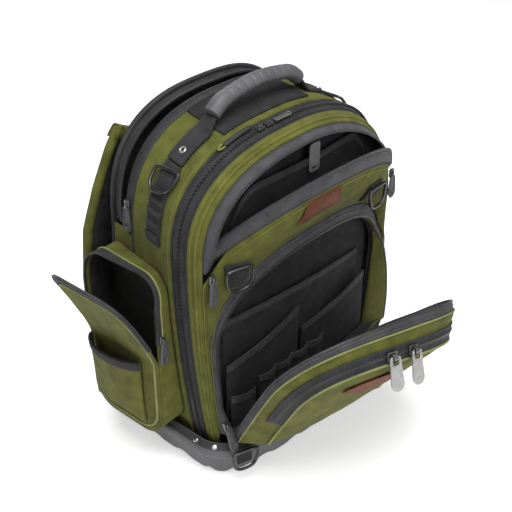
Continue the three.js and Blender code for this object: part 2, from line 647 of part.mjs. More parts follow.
function pouchPoint(u, v, lift) {
  const y = lerp(POUCH.front, POUCH.rear, u);
  const z = lerp(POUCH.low, POUCH.high, v);
  const bulge = POUCH.mouth * v * Math.sin(Math.PI * clamp(u, 0, 1)) ** POUCH.power;
  return vec(faceOf(sideMesh, vec(2 * SIDE.face, y, z), ACROSS).x - POUCH.seat - bulge - lift, y, z);
}

const pouchPlace = (u, v, w) => pouchPoint(u, v, w * CLOTH);
piece('side_pouch', cloth(8, 4, pouchPlace), OLIVE);

// Webbing down each side, ending under the handle's foot
const WEB = { front: -8, rear: 18 };
const WEB_CELLS = [5.3, 6, 7, 8, 9, 9.4];
const webDepths = [WEB.front, WEB.rear];
piece('side_webbing_left', band(WEB_CELLS, webDepths, GAP, GAP + WEBBING), BLACK);
const longWeb = mirrored([...cellRow(1, LEG_CELLS), ...WEB_CELLS.slice(1)]);
piece('side_webbing_right', band(longWeb, webDepths, GAP, GAP + WEBBING), BLACK);

// Handle: webbing feet on the body that rise, narrower, into a rubber grip
const HANDLE = { y: 5, half: 13, narrow: 8, endX: 78, endZ: 446, feetCells: [9.5, 10, 11, 11.5] };
const GRIP = { endX: 77.5, bendX: 55, bendZ: 463, crownZ: 470, footZ: 450, wide: 11, high: 9.4 };
const HANDLE_SIDES = [
  { name: 'left', sign: -1 },
  { name: 'right', sign: 1 },
];

for (const { name, sign } of HANDLE_SIDES) {
  const steps = HANDLE.feetCells.length;
  const place = (u, v, w) => {
    const step = Math.round((sign < 0 ? u : 1 - u) * steps);
    const lift = GAP + w * 2 * WEBBING;
    const side = 2 * v - 1;
    if (step === steps) return vec(sign * HANDLE.endX, HANDLE.y + HANDLE.narrow * side, HANDLE.endZ + lift);
    const cell = HANDLE.feetCells[step];
    return bodyPoint(sign < 0 ? cell : CELLS - cell, HANDLE.y + HANDLE.half * side, lift);
  };
  piece(`handle_strap_${name}`, cloth(steps, 1, place), BLACK);
}

const gripPath = new THREE.CatmullRomCurve3([
  vec(-GRIP.endX, HANDLE.y, GRIP.footZ),
  vec(-GRIP.bendX, HANDLE.y, GRIP.bendZ),
  vec(0, HANDLE.y, GRIP.crownZ),
  vec(GRIP.bendX, HANDLE.y, GRIP.bendZ),
  vec(GRIP.endX, HANDLE.y, GRIP.footZ),
]);
const gripSection = new THREE.Shape().absellipse(0, 0, GRIP.wide, GRIP.high, 0, 2 * Math.PI);
const gripSettings = { steps: 14, curveSegments: 5, extrudePath: gripPath };
piece('handle_grip', weld(new THREE.ExtrudeGeometry(gripSection, gripSettings)), GREY, 0.6);

// A flat plate cut to a shape, set down by its origin and its across and up directions
function plate(shape, thick, origin, across, up) {
  const normal = across.clone().cross(up);
  const place = new THREE.Matrix4().makeBasis(across, up, normal).setPosition(origin);
  const settings = { depth: thick, bevelEnabled: false, curveSegments: 5 };
  return weld(new THREE.ExtrudeGeometry(shape, settings).applyMatrix4(place));
}

// D-ring: a wire round a straight bar and a bow below it
const RING = { half: 18, bar: 9, bow: 20, wire: 2, wireSides: 5, turns: 18, side: 0.7, corner: 0.25 };

function dRing(origin, across, up) {
  const torus = new THREE.TorusGeometry(1, 0.1, RING.wireSides, RING.turns);
  const normal = across.clone().cross(up);
  const position = torus.attributes.position;
  for (let i = 0; i < position.count; i += 1) {
    const angle = ((i % (RING.turns + 1)) / RING.turns) * 2 * Math.PI;
    const round = (Math.floor(i / (RING.turns + 1)) / RING.wireSides) * 2 * Math.PI;
    const [c, n] = [Math.cos(angle), Math.sin(angle)];
    const high = n > 0 ? RING.bar * n ** RING.corner : RING.bow * n;
    const middle = new THREE.Vector2(RING.half * Math.sign(c) * Math.abs(c) ** RING.side, high);
    middle.addScaledVector(middle.clone().normalize(), RING.wire * Math.cos(round));
    const p = origin.clone().addScaledVector(across, middle.x).addScaledVector(up, middle.y);
    p.addScaledVector(normal, RING.wire * Math.sin(round));
    position.setXYZ(i, p.x, p.y, p.z);
  }
  return weld(torus);
}

const panelFace = (x, z) => faceOf(frontMesh, vec(x, 3 * FRONT_Y, z), BACK).y;

// Rings and tabs at the front: each tab is webbing that lies on the panel, up from the pocket's arch
const FRONT_RINGS = [
  { name: 'left', x: -135, z: 299, turn: -0.28 },
  { name: 'right', x: 110, z: 312, turn: 0.05 },
];
const TAB = { half: 14, low: -14, high: 14, seat: 1.4, ringLift: 1.9 };

for (const { name, x, z, turn } of FRONT_RINGS) {
  const place = (u, v, w) => {
    const [px, pz] = [x + lerp(-TAB.half, TAB.half, u), z + lerp(TAB.low, TAB.high, v)];
    return vec(px, panelFace(px, pz) - TAB.seat - w * WEBBING, pz);
  };
  piece(`front_tab_${name}`, cloth(2, 4, place), BLACK);
  const seat = Math.min(panelFace(x, z + RING.bar), panelFace(x, z - RING.bow), panelFace(x, z));
  const origin = vec(x, seat - TAB.seat - RING.wire - TAB.ringLift, z);
  piece(`front_ring_${name}`, dRing(origin, vec(1, turn, 0).normalize(), UP), GUNMETAL, 0.4, 0.8);
}

// Rings on the side webbings, below the handle's feet
const SIDE_RING = { cell: 8.6, step: 0.3 };
const RING_LIFT = 4 * GAP + WEBBING + RING.wire;

for (const { name, sign } of HANDLE_SIDES) {
  const cell = sign < 0 ? SIDE_RING.cell : CELLS - SIDE_RING.cell;
  const seat = bodyPoint(cell, HANDLE.y, RING_LIFT);
  const above = bodyPoint(cell - sign * SIDE_RING.step, HANDLE.y, RING_LIFT);
  const up = above.sub(seat).normalize();
  piece(`side_ring_${name}`, dRing(seat, vec(0, sign, 0), up), GUNMETAL, 0.4, 0.8);
}

// Ring and tab low at the front, left of the drop-down flap
const LOW_RING = vec(-147, -106.9, 40);
const LOW_ACROSS = vec(1, -0.35, 0).normalize();
piece('low_ring', dRing(LOW_RING, LOW_ACROSS, UP), GUNMETAL, 0.4, 0.8);
const LOW_TAB = { half: 10, low: -12, high: 12, back: RING.wire + GAP + WEBBING };
const lowTab = new THREE.Shape();
lowTab.moveTo(-LOW_TAB.half, LOW_TAB.low).lineTo(LOW_TAB.half, LOW_TAB.low);
lowTab.lineTo(LOW_TAB.half, LOW_TAB.high).lineTo(-LOW_TAB.half, LOW_TAB.high);
const lowTabSeat = LOW_RING.clone().addScaledVector(LOW_ACROSS.clone().cross(UP), -LOW_TAB.back);
piece('low_tab', plate(lowTab, WEBBING, lowTabSeat, LOW_ACROSS, UP), BLACK);

// Moulded zip pulls: a tapered tongue with a finger hole, hanging from its slider
const PULL = { top: 3.5, foot: 6, length: 30, hole: 2.8, thick: 3.5 };

function pullShape() {
  const shape = new THREE.Shape();
  shape.moveTo(PULL.top, 0).lineTo(PULL.foot, PULL.foot - PULL.length);
  shape.absarc(0, PULL.foot - PULL.length, PULL.foot, 0, -Math.PI, true);
  shape.lineTo(-PULL.top, 0);
  shape.holes.push(new THREE.Path().absarc(0, PULL.foot - PULL.length, PULL.hole, 0, 2 * Math.PI));
  return shape;
}

const PULLS = [
  { name: 'upper_pull_left', at: vec(-168, -77, 300), across: ACROSS, up: UP },
  { name: 'upper_pull_right', at: vec(154, -96, 316), across: ACROSS, up: UP },
  { name: 'side_pull', at: vec(-197, -20.4, 204), across: ACROSS, up: UP },
  { name: 'lower_pull', at: vec(-157.4, -85.6, 80), across: ACROSS, up: vec(0, 0.36, 0.93).normalize() },
  { name: 'laptop_pull', at: vec(-169.7, 56, 348), across: vec(0, -1, 0), up: UP },
];

for (const { name, at, across, up } of PULLS) {
  piece(name, plate(pullShape(), PULL.thick, at, across, up), GREY, 0.6);
}

// The main zip's two pulls lying on the crown: a covered cord loop and a steel tab
const CORD_PULL = { cells: [11.5, 12, 13], depths: [-35, -29], low: -CLOTH + TAPE + GAP, high: 5 };
const STEEL_TAB = { cells: [13.7, 14, 14.5], depths: [-45, -37], low: 1.7, high: 4.2 };
const onCrown = ({ cells, depths, low, high }) => band(cells, depths, low, high);
piece('main_pull_cord', onCrown(CORD_PULL), BLACK);
piece('main_pull_tab', onCrown(STEEL_TAB), STEEL, 0.3, 0.9);

// Sliders on the flap's zip band, each with a bored bridge that carries its pull
const SLIDER = { length: 14, width: 11, thick: 4, pinHigh: 7.4 };
const BRIDGE = { half: 3, round: 4.2, bore: 2.1, low: 2 };
const FLAP_SLIDERS = [
  { name: 'left', cell: 12.1, across: 0.5 },
  { name: 'right', cell: 13.2, across: 0.5 },
];

// Large steel pull: a tongue, wider at its free end, whose top bar runs through the bridge
const STEEL_PULL = { half: 7, free: 9, bar: 1.25, length: 42, thick: 2.5 };
const STEEL_WINDOW = { half: 4, low: -9.5 };

function steelPull() {
  const { half, free, bar, length, thick } = STEEL_PULL;
  const outline = new THREE.Shape();
  outline.moveTo(half, bar).lineTo(free, free - length);
  outline.absarc(0, free - length, free, 0, -Math.PI, true).lineTo(-half, bar);
  const opening = new THREE.Path();
  opening.moveTo(-STEEL_WINDOW.half, -bar).lineTo(-STEEL_WINDOW.half, STEEL_WINDOW.low);
  opening.lineTo(STEEL_WINDOW.half, STEEL_WINDOW.low).lineTo(STEEL_WINDOW.half, -bar);
  outline.holes.push(opening);
  const settings = { depth: thick, bevelEnabled: false, curveSegments: 5 };
  return weld(new THREE.ExtrudeGeometry(outline, settings).translate(0, 0, -thick / 2));
}

function slider() {
  const { length, width, thick, pinHigh } = SLIDER;
  const body = new THREE.BoxGeometry(length, width, thick).translate(0, 0, thick / 2);
  const arch = new THREE.Shape();
  arch.moveTo(-BRIDGE.round, BRIDGE.low).lineTo(BRIDGE.round, BRIDGE.low);
  arch.lineTo(BRIDGE.round, pinHigh).absarc(0, pinHigh, BRIDGE.round, 0, Math.PI);
  arch.holes.push(new THREE.Path().absarc(0, pinHigh, BRIDGE.bore, 0, 2 * Math.PI));
  const settings = { depth: 2 * BRIDGE.half, bevelEnabled: false, curveSegments: 6 };
  const bridge = new THREE.ExtrudeGeometry(arch, settings).translate(0, 0, -BRIDGE.half);
  return joined(body, bridge.rotateX(Math.PI / 2).rotateZ(Math.PI / 2));
}

const SEAT_STEP = 0.3;

for (const { name, cell, across } of FLAP_SLIDERS) {
  const onBand = (cells, share) => flapBand(cell + cells, across + share, BAND_LIFT.seat + TAPE);
  const run = onBand(SEAT_STEP, 0).sub(onBand(-SEAT_STEP, 0)).normalize();
  const slope = onBand(0, SEAT_STEP).sub(onBand(0, -SEAT_STEP)).normalize();
  const normal = slope.cross(run).normalize();
  const seat = onBand(0, 0).addScaledVector(normal, 2 * GAP);
  const up = normal.clone().cross(run);
  const frame = new THREE.Matrix4().makeBasis(run, up, normal).setPosition(seat);
  piece(`flap_slider_${name}`, slider().applyMatrix4(frame), STEEL, 0.3, 0.9);
  frame.setPosition(seat.addScaledVector(normal, SLIDER.pinHigh));
  piece(`flap_pull_${name}`, steelPull().applyMatrix4(frame), STEEL, 0.3, 0.9);
}

// Padded shoulder straps behind the back panel, one row for each section down the left strap
const STRAP_ROWS = [
  { x: 98, y: 109.6, z: 408, half: 31 },
  { x: 112, y: 111, z: 380, half: 36 },
  { x: 130, y: 116, z: 335, half: 37 },
  { x: 146, y: 121, z: 285, half: 37 },
  { x: 152, y: 121, z: 238, half: 36 },
  { x: 148, y: 117, z: 195, half: 28 },
];
const STRAP_WEB_ROWS = [
  { x: 148, y: 120, z: 194, half: 12.5 },
  { x: 144, y: 116, z: 150, half: 12.5 },
  { x: 136, y: 111, z: 95, half: 12.5 },
  { x: 132, y: 109.4, z: 66, half: 12.5 },
];
const STRAP_PAD = 12;
const STRAP_STEP = 0.05;

function strap(rows, sign, thick) {
  const column = (name, k) => along(rows.map((row) => row[name]), k);
  const place = (u, v, w) => {
    const change = (name) => column(name, u + STRAP_STEP) - column(name, u - STRAP_STEP);
    const slope = new THREE.Vector2(change('x'), change('z')).normalize();
    const out = column('half', u) * lerp(-1, 1, v);
    const x = sign * (column('x', u) - slope.y * out);
    return vec(x, column('y', u) + w * thick, column('z', u) + slope.x * out);
  };
  return cloth(2 * (rows.length - 1), 2, place);
}

for (const { name, sign } of HANDLE_SIDES) {
  piece(`shoulder_strap_${name}`, strap(STRAP_ROWS, sign, STRAP_PAD), BLACK);
  piece(`strap_webbing_${name}`, strap(STRAP_WEB_ROWS, sign, WEBBING), BLACK);
}

export default bag;
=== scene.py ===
import math
import bmesh
import bpy
from mathutils import Matrix, Vector, noise


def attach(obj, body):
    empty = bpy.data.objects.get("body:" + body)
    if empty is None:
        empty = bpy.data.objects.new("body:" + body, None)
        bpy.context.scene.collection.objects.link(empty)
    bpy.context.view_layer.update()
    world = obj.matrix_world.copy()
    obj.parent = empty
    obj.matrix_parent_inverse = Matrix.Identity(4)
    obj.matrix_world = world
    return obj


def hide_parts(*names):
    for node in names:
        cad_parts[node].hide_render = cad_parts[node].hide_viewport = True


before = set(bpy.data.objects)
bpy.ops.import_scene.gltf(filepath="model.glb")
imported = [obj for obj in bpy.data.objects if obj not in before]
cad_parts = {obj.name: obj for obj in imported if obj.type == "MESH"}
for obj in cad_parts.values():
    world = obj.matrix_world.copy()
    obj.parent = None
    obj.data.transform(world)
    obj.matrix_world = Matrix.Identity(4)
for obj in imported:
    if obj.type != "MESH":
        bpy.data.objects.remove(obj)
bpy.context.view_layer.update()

scene = bpy.context.scene

# Photographer's table: pale paper floor that runs out of sight under soft light from overhead and both sides.
# The camera stands high at the bag's left front corner, where the photograph was taken from.
camera = bpy.data.objects.new("camera", bpy.data.cameras.new("camera"))
camera.data.lens = 68.22
camera.data.sensor_width = 36.0
camera.location = (-0.8156, -0.7116, 0.9032)
camera.rotation_euler = (math.radians(57.9), 0.0, math.radians(-48.7))
scene.collection.objects.link(camera)
scene.camera = camera

# Name, place, target, width and power of each light
LIGHTS = (
    ("overhead light", (-0.25, -0.35, 1.9), (0.0, 0.0, 0.2), 1.3, 38.0),
    ("front light", (-0.3, -1.9, 1.1), (0.0, 0.0, 0.22), 1.3, 13.0),
    ("left light", (-1.9, 0.1, 1.0), (0.0, 0.0, 0.22), 1.2, 5.0),
    ("back light", (0.9, 1.7, 1.4), (0.0, 0.0, 0.3), 1.2, 9.0),
)
for label, place, target, width, power in LIGHTS:
    lamp = bpy.data.objects.new(label, bpy.data.lights.new(label, "AREA"))
    lamp.data.energy = power
    lamp.data.size = width
    lamp.location = place
    lamp.rotation_euler = (Vector(target) - Vector(place)).to_track_quat("-Z", "Y").to_euler()
    scene.collection.objects.link(lamp)

studio = bpy.data.worlds.new("studio")
studio.use_nodes = True
studio.node_tree.nodes["Background"].inputs["Color"].default_value = (1.0, 1.0, 1.0, 1.0)
studio.node_tree.nodes["Background"].inputs["Strength"].default_value = 0.27
scene.world = studio
scene.view_settings.view_transform = "Standard"


def node(tree, kind, **settings):
    made = tree.nodes.new(kind)
    for key, value in settings.items():
        setattr(made, key, value)
    return made


def plug(tree, source, output, target, socket):
    tree.links.new(source.outputs[output], target.inputs[socket])


# The record's material slot that each finish stands for
slot_of = {}


def new_finish(name, slot, roughness, metallic=0.0, sheen=0.0, gloss=0.5):
    made = bpy.data.materials.new(name)
    slot_of[made.name] = slot
    made.use_nodes = True
    shader = made.node_tree.nodes["Principled BSDF"]
    shader.inputs["Roughness"].default_value = roughness
    shader.inputs["Metallic"].default_value = metallic
    shader.inputs["Sheen Weight"].default_value = sheen
    shader.inputs["Sheen Roughness"].default_value = 0.45
    shader.inputs["Specular IOR Level"].default_value = gloss
    return made, made.node_tree, shader


# Two tones of one colour drifting into each other, at a grain in metres
def tone(tree, shader, light, dark, grain, detail=4.0):
    place = node(tree, "ShaderNodeTexCoord")
    cloud = node(tree, "ShaderNodeTexNoise")
    cloud.inputs["Scale"].default_value = 1.0 / grain
    cloud.inputs["Detail"].default_value = detail
    ramp = node(tree, "ShaderNodeValToRGB")
    ramp.color_ramp.elements[0].position = 0.32
    ramp.color_ramp.elements[1].position = 0.68
    ramp.color_ramp.elements[0].color = (*dark, 1.0)
    ramp.color_ramp.elements[1].color = (*light, 1.0)
    plug(tree, place, "Object", cloud, "Vector")
    plug(tree, cloud, "Fac", ramp, "Fac")
    plug(tree, ramp, "Color", shader, "Base Color")
    return place


def raise_surface(tree, shader, source, output, depth, strength=0.6):
    bump = node(tree, "ShaderNodeBump")
    bump.inputs["Strength"].default_value = strength
    bump.inputs["Distance"].default_value = depth
    plug(tree, source, output, bump, "Height")
    plug(tree, bump, "Normal", shader, "Normal")


paper, paper_tree, paper_shader = new_finish("pale_paper", None, 0.9)
tone(paper_tree, paper_shader, (0.93, 0.93, 0.93), (0.91, 0.91, 0.91), 0.4)
paper_shader.inputs["Emission Color"].default_value = (1.0, 1.0, 1.0, 1.0)
paper_shader.inputs["Emission Strength"].default_value = 0.42
bm = bmesh.new()
bmesh.ops.create_grid(bm, x_segments=4, y_segments=4, size=6.0)
floor = bpy.data.objects.new("paper_floor", bpy.data.meshes.new("paper_floor"))
bm.to_mesh(floor.data)
bm.free()
floor.data.materials.append(paper)
scene.collection.objects.link(floor)

# Base: one tub of grey moulded rubber with a flared rim, tread lugs round its foot and a thicker lip.
# The bag's foot stands in it and is held by rivets through the lip.
# Sizes are in millimetres: the gap that pieces keep, then the thickness of cloth, zip tape and webbing.
MM = 0.001
GAP, CLOTH, TAPE, WEBBING = 0.3, 2.2, 1.2, 1.5
BAG_MIDDLE = Vector((0.0, 10.0, 200.0))


def lerp(a, b, k):
    return a + (b - a) * k


def clamp(value, low=0.0, high=1.0):
    return max(low, min(high, value))


# Walks a row of numbers or points at a fraction of its length, straight between neighbours
def along(row, fraction):
    place = clamp(fraction) * (len(row) - 1)
    i = min(int(place), len(row) - 2)
    return lerp(row[i], row[i + 1], place - i)


# Every piece rides on a body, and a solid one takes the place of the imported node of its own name
def add_piece(name, mesh, finish, slot=None, solid=False, body="bag"):
    made = bpy.data.objects.new(name, mesh)
    scene.collection.objects.link(made)
    mesh.materials.clear()
    mesh.materials.append(finish)
    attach(made, body)
    if solid:
        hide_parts(name)
    slot = slot or slot_of[finish.name]
    return made


def round_off(made):
    rounding = made.modifiers.new("rounding", "SUBSURF")
    rounding.levels = 1
    rounding.render_levels = 1


def cloth_length(line, steps):
    return sum((line((i + 1) / steps) - line(i / steps)).length for i in range(steps)) * MM


# A grid bent by place(along, across) in millimetres; its weave map is in metres of cloth.
# With a thickness it is a wall whose outer face is the grid, and middle is a point on its inner side.
def sew(name, cells, place, finish, thick=0.0, middle=BAG_MIDDLE, smooth=False, closed=False, **piece):
    bm = bmesh.new()
    bmesh.ops.create_grid(bm, x_segments=cells[0], y_segments=cells[1], size=0.5)
    weave = bm.loops.layers.uv.new("weave")
    run = cloth_length(lambda k: place(k, 0.5), 24)
    rise = cloth_length(lambda k: place(0.5, k), 12)
    for face in bm.faces:
        face.smooth = True
        for loop in face.loops:
            loop[weave].uv = ((loop.vert.co.x + 0.5) * run, (loop.vert.co.y + 0.5) * rise)
    for vert in bm.verts:
        vert.co = place(vert.co.x + 0.5, vert.co.y + 0.5) * MM
    if closed:
        bmesh.ops.remove_doubles(bm, verts=bm.verts, dist=1e-6)
        bmesh.ops.dissolve_degenerate(bm, edges=bm.edges, dist=1e-7)
        bmesh.ops.recalc_face_normals(bm, faces=bm.faces)
    else:
        bm.normal_update()
        if sum(face.normal.dot(face.calc_center_median() / MM - middle) for face in bm.faces) < 0.0:
            bmesh.ops.reverse_faces(bm, faces=bm.faces)
    mesh = bpy.data.meshes.new(name)
    bm.to_mesh(mesh)
    bm.free()
    made = add_piece(name, mesh, finish, **piece)
    if thick:
        wall = made.modifiers.new("cloth wall", "SOLIDIFY")
        wall.thickness = thick * MM
        wall.offset = -1.0
    if smooth:
        round_off(made)
    return made


def moulded(name, slot, light, dark, grain, depth, roughness):
    made, tree, shader = new_finish(name, slot, roughness, gloss=0.35)
    place = tone(tree, shader, light, dark, 0.03)
    skin = node(tree, "ShaderNodeTexNoise")
    skin.inputs["Scale"].default_value = 1.0 / grain
    skin.inputs["Detail"].default_value = 3.0
    plug(tree, place, "Object", skin, "Vector")
    raise_surface(tree, shader, skin, "Fac", depth, 0.5)
    return made


base_rubber = moulded(
    "base_rubber", "rubber_base", (0.105, 0.105, 0.11), (0.075, 0.075, 0.08), 0.0012, 0.0004, 0.62)


# A loop of four rounded corners, in the order of the solid it stands for
def rounded_loop(box, radii, arc, edges):
    a0, a1, b0, b1 = box
    corners = ((a1, b0, radii[0], 0), (a0, b0, radii[0], -90), (a0, b1, radii[1], -180), (a1, b1, radii[1],
    -270))
    arcs = []
    for a, b, r, start in corners:
        turn = [math.radians(start - 90 * i / arc) for i in range(arc + 1)]
        ca = a - r if a == a1 else a + r
        cb = b - r if b == b1 else b + r
        arcs.append([(ca + r * math.cos(t), cb + r * math.sin(t)) for t in turn])
    loop = []
    for i, corner in enumerate(arcs):
        loop += corner
        end, start = corner[-1], arcs[(i + 1) % 4][0]
        share = [(k + 1) / (edges[i] + 1) for k in range(edges[i])]
        loop += [(lerp(end[0], start[0], k), lerp(end[1], start[1], k)) for k in share]
    return loop


BASE_HALF, BASE_FRONT, BASE_REAR, BASE_CROWN = 168.0, -82.0, 126.0, 28.0
BASE_RADII = (28.0, 22.0)
BASE_ARC, BASE_EDGES = 9, (31, 17, 31, 17)
BASE_TURNS = 4 * (BASE_ARC + 1) + sum(BASE_EDGES)
BASE_SHUT, BASE_TIGHT, BASE_CENTRE = -150.0, -20.0, (0.0, 20.0)
LUG_HIGH, LUG_EVERY, LUG_WIDE = 5.0, 6, 2
# Growth past the outline, height, and 1 where lugs rise, of each row from under the middle up and down inside
BASE_ROWS = (
    (BASE_SHUT, 0.0, 0), (-60.0, 0.0, 0), (-22.0, 0.0, 0), (-6.0, 0.0, 1), (-2.5, 0.6, 1), (-1.0, 2.5, 1),
    (1.0, 8.0, 0),
    (3.0, 15.0, 0), (5.2, 22.0, 0), (7.6, 30.0, 0), (8.8, 35.0, 0), (10.8, 36.0, 0), (12.0, 38.5, 0),
    (12.2, 42.0, 0),
    (11.6, 45.4, 0), (10.0, 47.0, 0), (7.4, 48.0, 0), (4.6, 50.0, 0), (2.4, 52.6, 0), (1.2, 53.2, 0),
    (0.0, 52.6, 0),
    (-0.5, 51.0, 0), (2.0, 43.0, 0), (3.2, 37.0, 0), (-1.0, 20.0, 0), (-4.0, 9.0, 0), (-7.0, 6.0, 0),
    (-60.0, 6.0, 0),
    (BASE_SHUT, 6.0, 0),
)


def base_outline(grow):
    if grow == BASE_SHUT:
        return [BASE_CENTRE] * BASE_TURNS
    sides = (-BASE_HALF - grow, BASE_HALF + grow, BASE_FRONT - grow, BASE_REAR + grow)
    radii = [max(r + grow, 2.0) for r in BASE_RADII]
    loop = []
    for x, y in rounded_loop(sides, radii, BASE_ARC, BASE_EDGES):
        front = clamp((BASE_FRONT + BASE_RADII[0] - y) / (BASE_RADII[0] + max(grow, BASE_TIGHT)))
        loop.append((x, y - front * BASE_CROWN * (1.0 - (x / (BASE_HALF + grow)) ** 2)))
    return loop


base_loops = [base_outline(row[0]) for row in BASE_ROWS]


def base_point(u, v):
    row = round(v * (len(BASE_ROWS) - 1))
    turn = round(u * BASE_TURNS) % BASE_TURNS
    z, lug = BASE_ROWS[row][1:]
    rise = LUG_HIGH if lug and turn % LUG_EVERY < LUG_WIDE else 0.0
    return Vector((*base_loops[row][turn], z + rise))


sew("base_tub", (BASE_TURNS, len(BASE_ROWS) - 1), base_point, base_rubber, closed=True, smooth=True, solid=True)


def metal(name, slot, light, dark, roughness, grain):
    made, tree, shader = new_finish(name, slot, roughness, metallic=1.0)
    place = tone(tree, shader, light, dark, 0.004)
    stretch = node(tree, "ShaderNodeMapping")
    stretch.inputs["Scale"].default_value = (1.0 / grain, 0.12 / grain, 1.0 / grain)
    brushed = node(tree, "ShaderNodeTexNoise")
    brushed.inputs["Scale"].default_value = 1.0
    brushed.inputs["Detail"].default_value = 3.0
    plug(tree, place, "Object", stretch, "Vector")
    plug(tree, stretch, "Vector", brushed, "Vector")
    raise_surface(tree, shader, brushed, "Fac", 0.00006, 0.35)
    return made


satin_steel = metal("satin_steel", "steel", (0.47, 0.47, 0.46), (0.36, 0.36, 0.35), 0.3, 0.0006)
gunmetal = metal("gunmetal", "dark_metal", (0.2, 0.2, 0.2), (0.12, 0.12, 0.125), 0.38, 0.0008)


# A domed rivet or eyelet turned about its own axis; bore is 0 for a rivet
def rivet(name, place, axis, radius, bore=0.0):
    bm = bmesh.new()
    profile = ((bore, 0.0), (bore, 0.8), (lerp(bore, radius, 0.55), 1.5), (radius * 0.95, 0.9), (radius, 0.0))
    corners = [bm.verts.new((r, 0.0, h)) for r, h in profile]
    edges = [bm.edges.new(pair) for pair in zip(corners, corners[1:])]
    bmesh.ops.spin(
        bm, geom=corners + edges, cent=(0, 0, 0), axis=(0, 0, 1), angle=2 * math.pi, steps=20, use_merge=True)
    bmesh.ops.remove_doubles(bm, verts=bm.verts, dist=1e-4)
    bmesh.ops.recalc_face_normals(bm, faces=bm.faces)
    for face in bm.faces:
        face.smooth = True
    turn = Vector(axis).to_track_quat("Z", "Y").to_matrix().to_4x4()
    bm.transform(Matrix.Scale(MM, 4) @ Matrix.Translation(place) @ turn)
    mesh = bpy.data.meshes.new(name)
    bm.to_mesh(mesh)
    bm.free()
    add_piece(name, mesh, satin_steel)


# A black band lies on the lip's slope, and the rivets go through it.
# Growth past the base's outline and height of each of the band's rows
LIP_BAND = ((9.4, 48.2), (7.4, 48.9), (4.6, 50.9), (2.6, 53.4))
lip_loops = [base_outline(row[0]) for row in LIP_BAND]
lip_black = moulded(
    "lip_black", "black_webbing", (0.04, 0.04, 0.042), (0.025, 0.025, 0.026), 0.0015, 0.0004, 0.6)


def lip_place(u, v):
    row = round(v * (len(LIP_BAND) - 1))
    return Vector((*lip_loops[row][round(u * BASE_TURNS) % BASE_TURNS], LIP_BAND[row][1]))


sew("lip_band", (BASE_TURNS, len(LIP_BAND) - 1), lip_place, lip_black, closed=True)
# Distance from the middle, depth and forward lean of each pair of rivets
LIP_RIVETS, RIVET_Z, RIVET_RADIUS = ((174.0, -46.0, 0.0), (168.4, -73.5, -0.33)), 49.9, 3.8
for x, y, forward in LIP_RIVETS:
    for label, side in (("left", -1.0), ("right", 1.0)):
        name = f"base_rivet_{label}_{'front' if forward else 'side'}"
        rivet(name, Vector((side * x, y, RIVET_Z)), Vector((side * 0.5, forward, 0.8)), RIVET_RADIUS)


# Main body: a band of olive woven nylon bent over the bag's whole outline, sewn to the main zip in front.
# The front band carries the front pockets; a black lined wall closes it behind them.
CELLS, LEG_CELLS = 28, 5
FOOT_Z, WAIST_Z, SHOULDER_Z = 6.3, 150.0, 310.0
BODY_POWER = 2.65
FRONT_Y, ZIP_FRONT_Y, ZIP_REAR_Y, LAPTOP_FRONT_Y, BACK_Y = -70.0, -52.0, -28.0, 50.0, 95.0
# Depth, half-widths at foot, waist and shoulder, top, and how square the right shoulder is, of each section
SECTIONS = (
    (FRONT_Y, 148.0, 171.0, 177.0, 424.0, 1.95),
    (-40.0, 152.0, 176.0, 187.0, 435.0, 2.25),
    (LAPTOP_FRONT_Y, 152.0, 169.0, 170.0, 448.0, BODY_POWER),
    (BACK_Y, 146.0, 161.0, 160.0, 451.0, BODY_POWER),
)


# Half of a bag outline: three half-widths up the leg, then a rounded arch
def arch_point(cell, widths, heights, power):
    foot, waist, shoulder, top = widths
    foot_z, waist_z, shoulder_z = heights
    side = -1.0 if cell <= CELLS / 2 else 1.0
    k = min(cell, CELLS - cell)
    if k <= LEG_CELLS:
        z = lerp(foot_z, shoulder_z, k / LEG_CELLS)
        low = foot * (z - waist_z) * (z - shoulder_z) / ((foot_z - waist_z) * (foot_z - shoulder_z))
        mid = waist * (z - foot_z) * (z - shoulder_z) / ((waist_z - foot_z) * (waist_z - shoulder_z))
        high = shoulder * (z - foot_z) * (z - waist_z) / ((shoulder_z - foot_z) * (shoulder_z - waist_z))
        return Vector((side * (low + mid + high), z))
    angle = (k - LEG_CELLS) / (CELLS / 2 - LEG_CELLS) * math.pi / 2
    square = power[0] if side < 0.0 else power[1]
    out = max(math.cos(angle), 0.0) ** (2 / square)
    return Vector((side * shoulder * out, lerp(shoulder_z, top, math.sin(angle) ** (2 / square))))


def arch_offset(cell, widths, heights, power, off):
    before = arch_point(clamp(cell - 0.4, 0, CELLS), widths, heights, power)
    after = arch_point(clamp(cell + 0.4, 0, CELLS), widths, heights, power)
    slope = (after - before).normalized()
    point = arch_point(clamp(cell, 0, CELLS), widths, heights, power)
    return Vector((point.x - slope.y * off, point.y + slope.x * off))


def bag_point(cell, y, off=0.0):
    i = next((i for i, row in enumerate(SECTIONS) if row[0] >= y), len(SECTIONS) - 1)
    i = max(i, 1)
    a, b = SECTIONS[i - 1], SECTIONS[i]
    k = (y - a[0]) / (b[0] - a[0])
    widths = [lerp(a[n], b[n], k) for n in range(1, 5)]
    power = (BODY_POWER, lerp(a[5], b[5], k))
    p = arch_offset(cell, widths, (FOOT_Z, WAIST_Z, SHOULDER_Z), power, off)
    return Vector((p.x, y, p.y))


def bag_half(y, z):
    return abs(bag_point((z - FOOT_Z) / (SHOULDER_Z - FOOT_Z) * LEG_CELLS, y).x)


# Slack of sewn cloth: shallow hollows a hand wide and small puckers, always inwards of the tight surface
def slack(point, deep, span=70.0):
    wide = noise.noise(point / span)
    small = noise.noise(point / (span * 0.28) + Vector((7.0, 3.0, 1.0)))
    return -deep * (0.5 + 0.5 * wide) - 0.3 * deep * (0.5 + 0.5 * small)


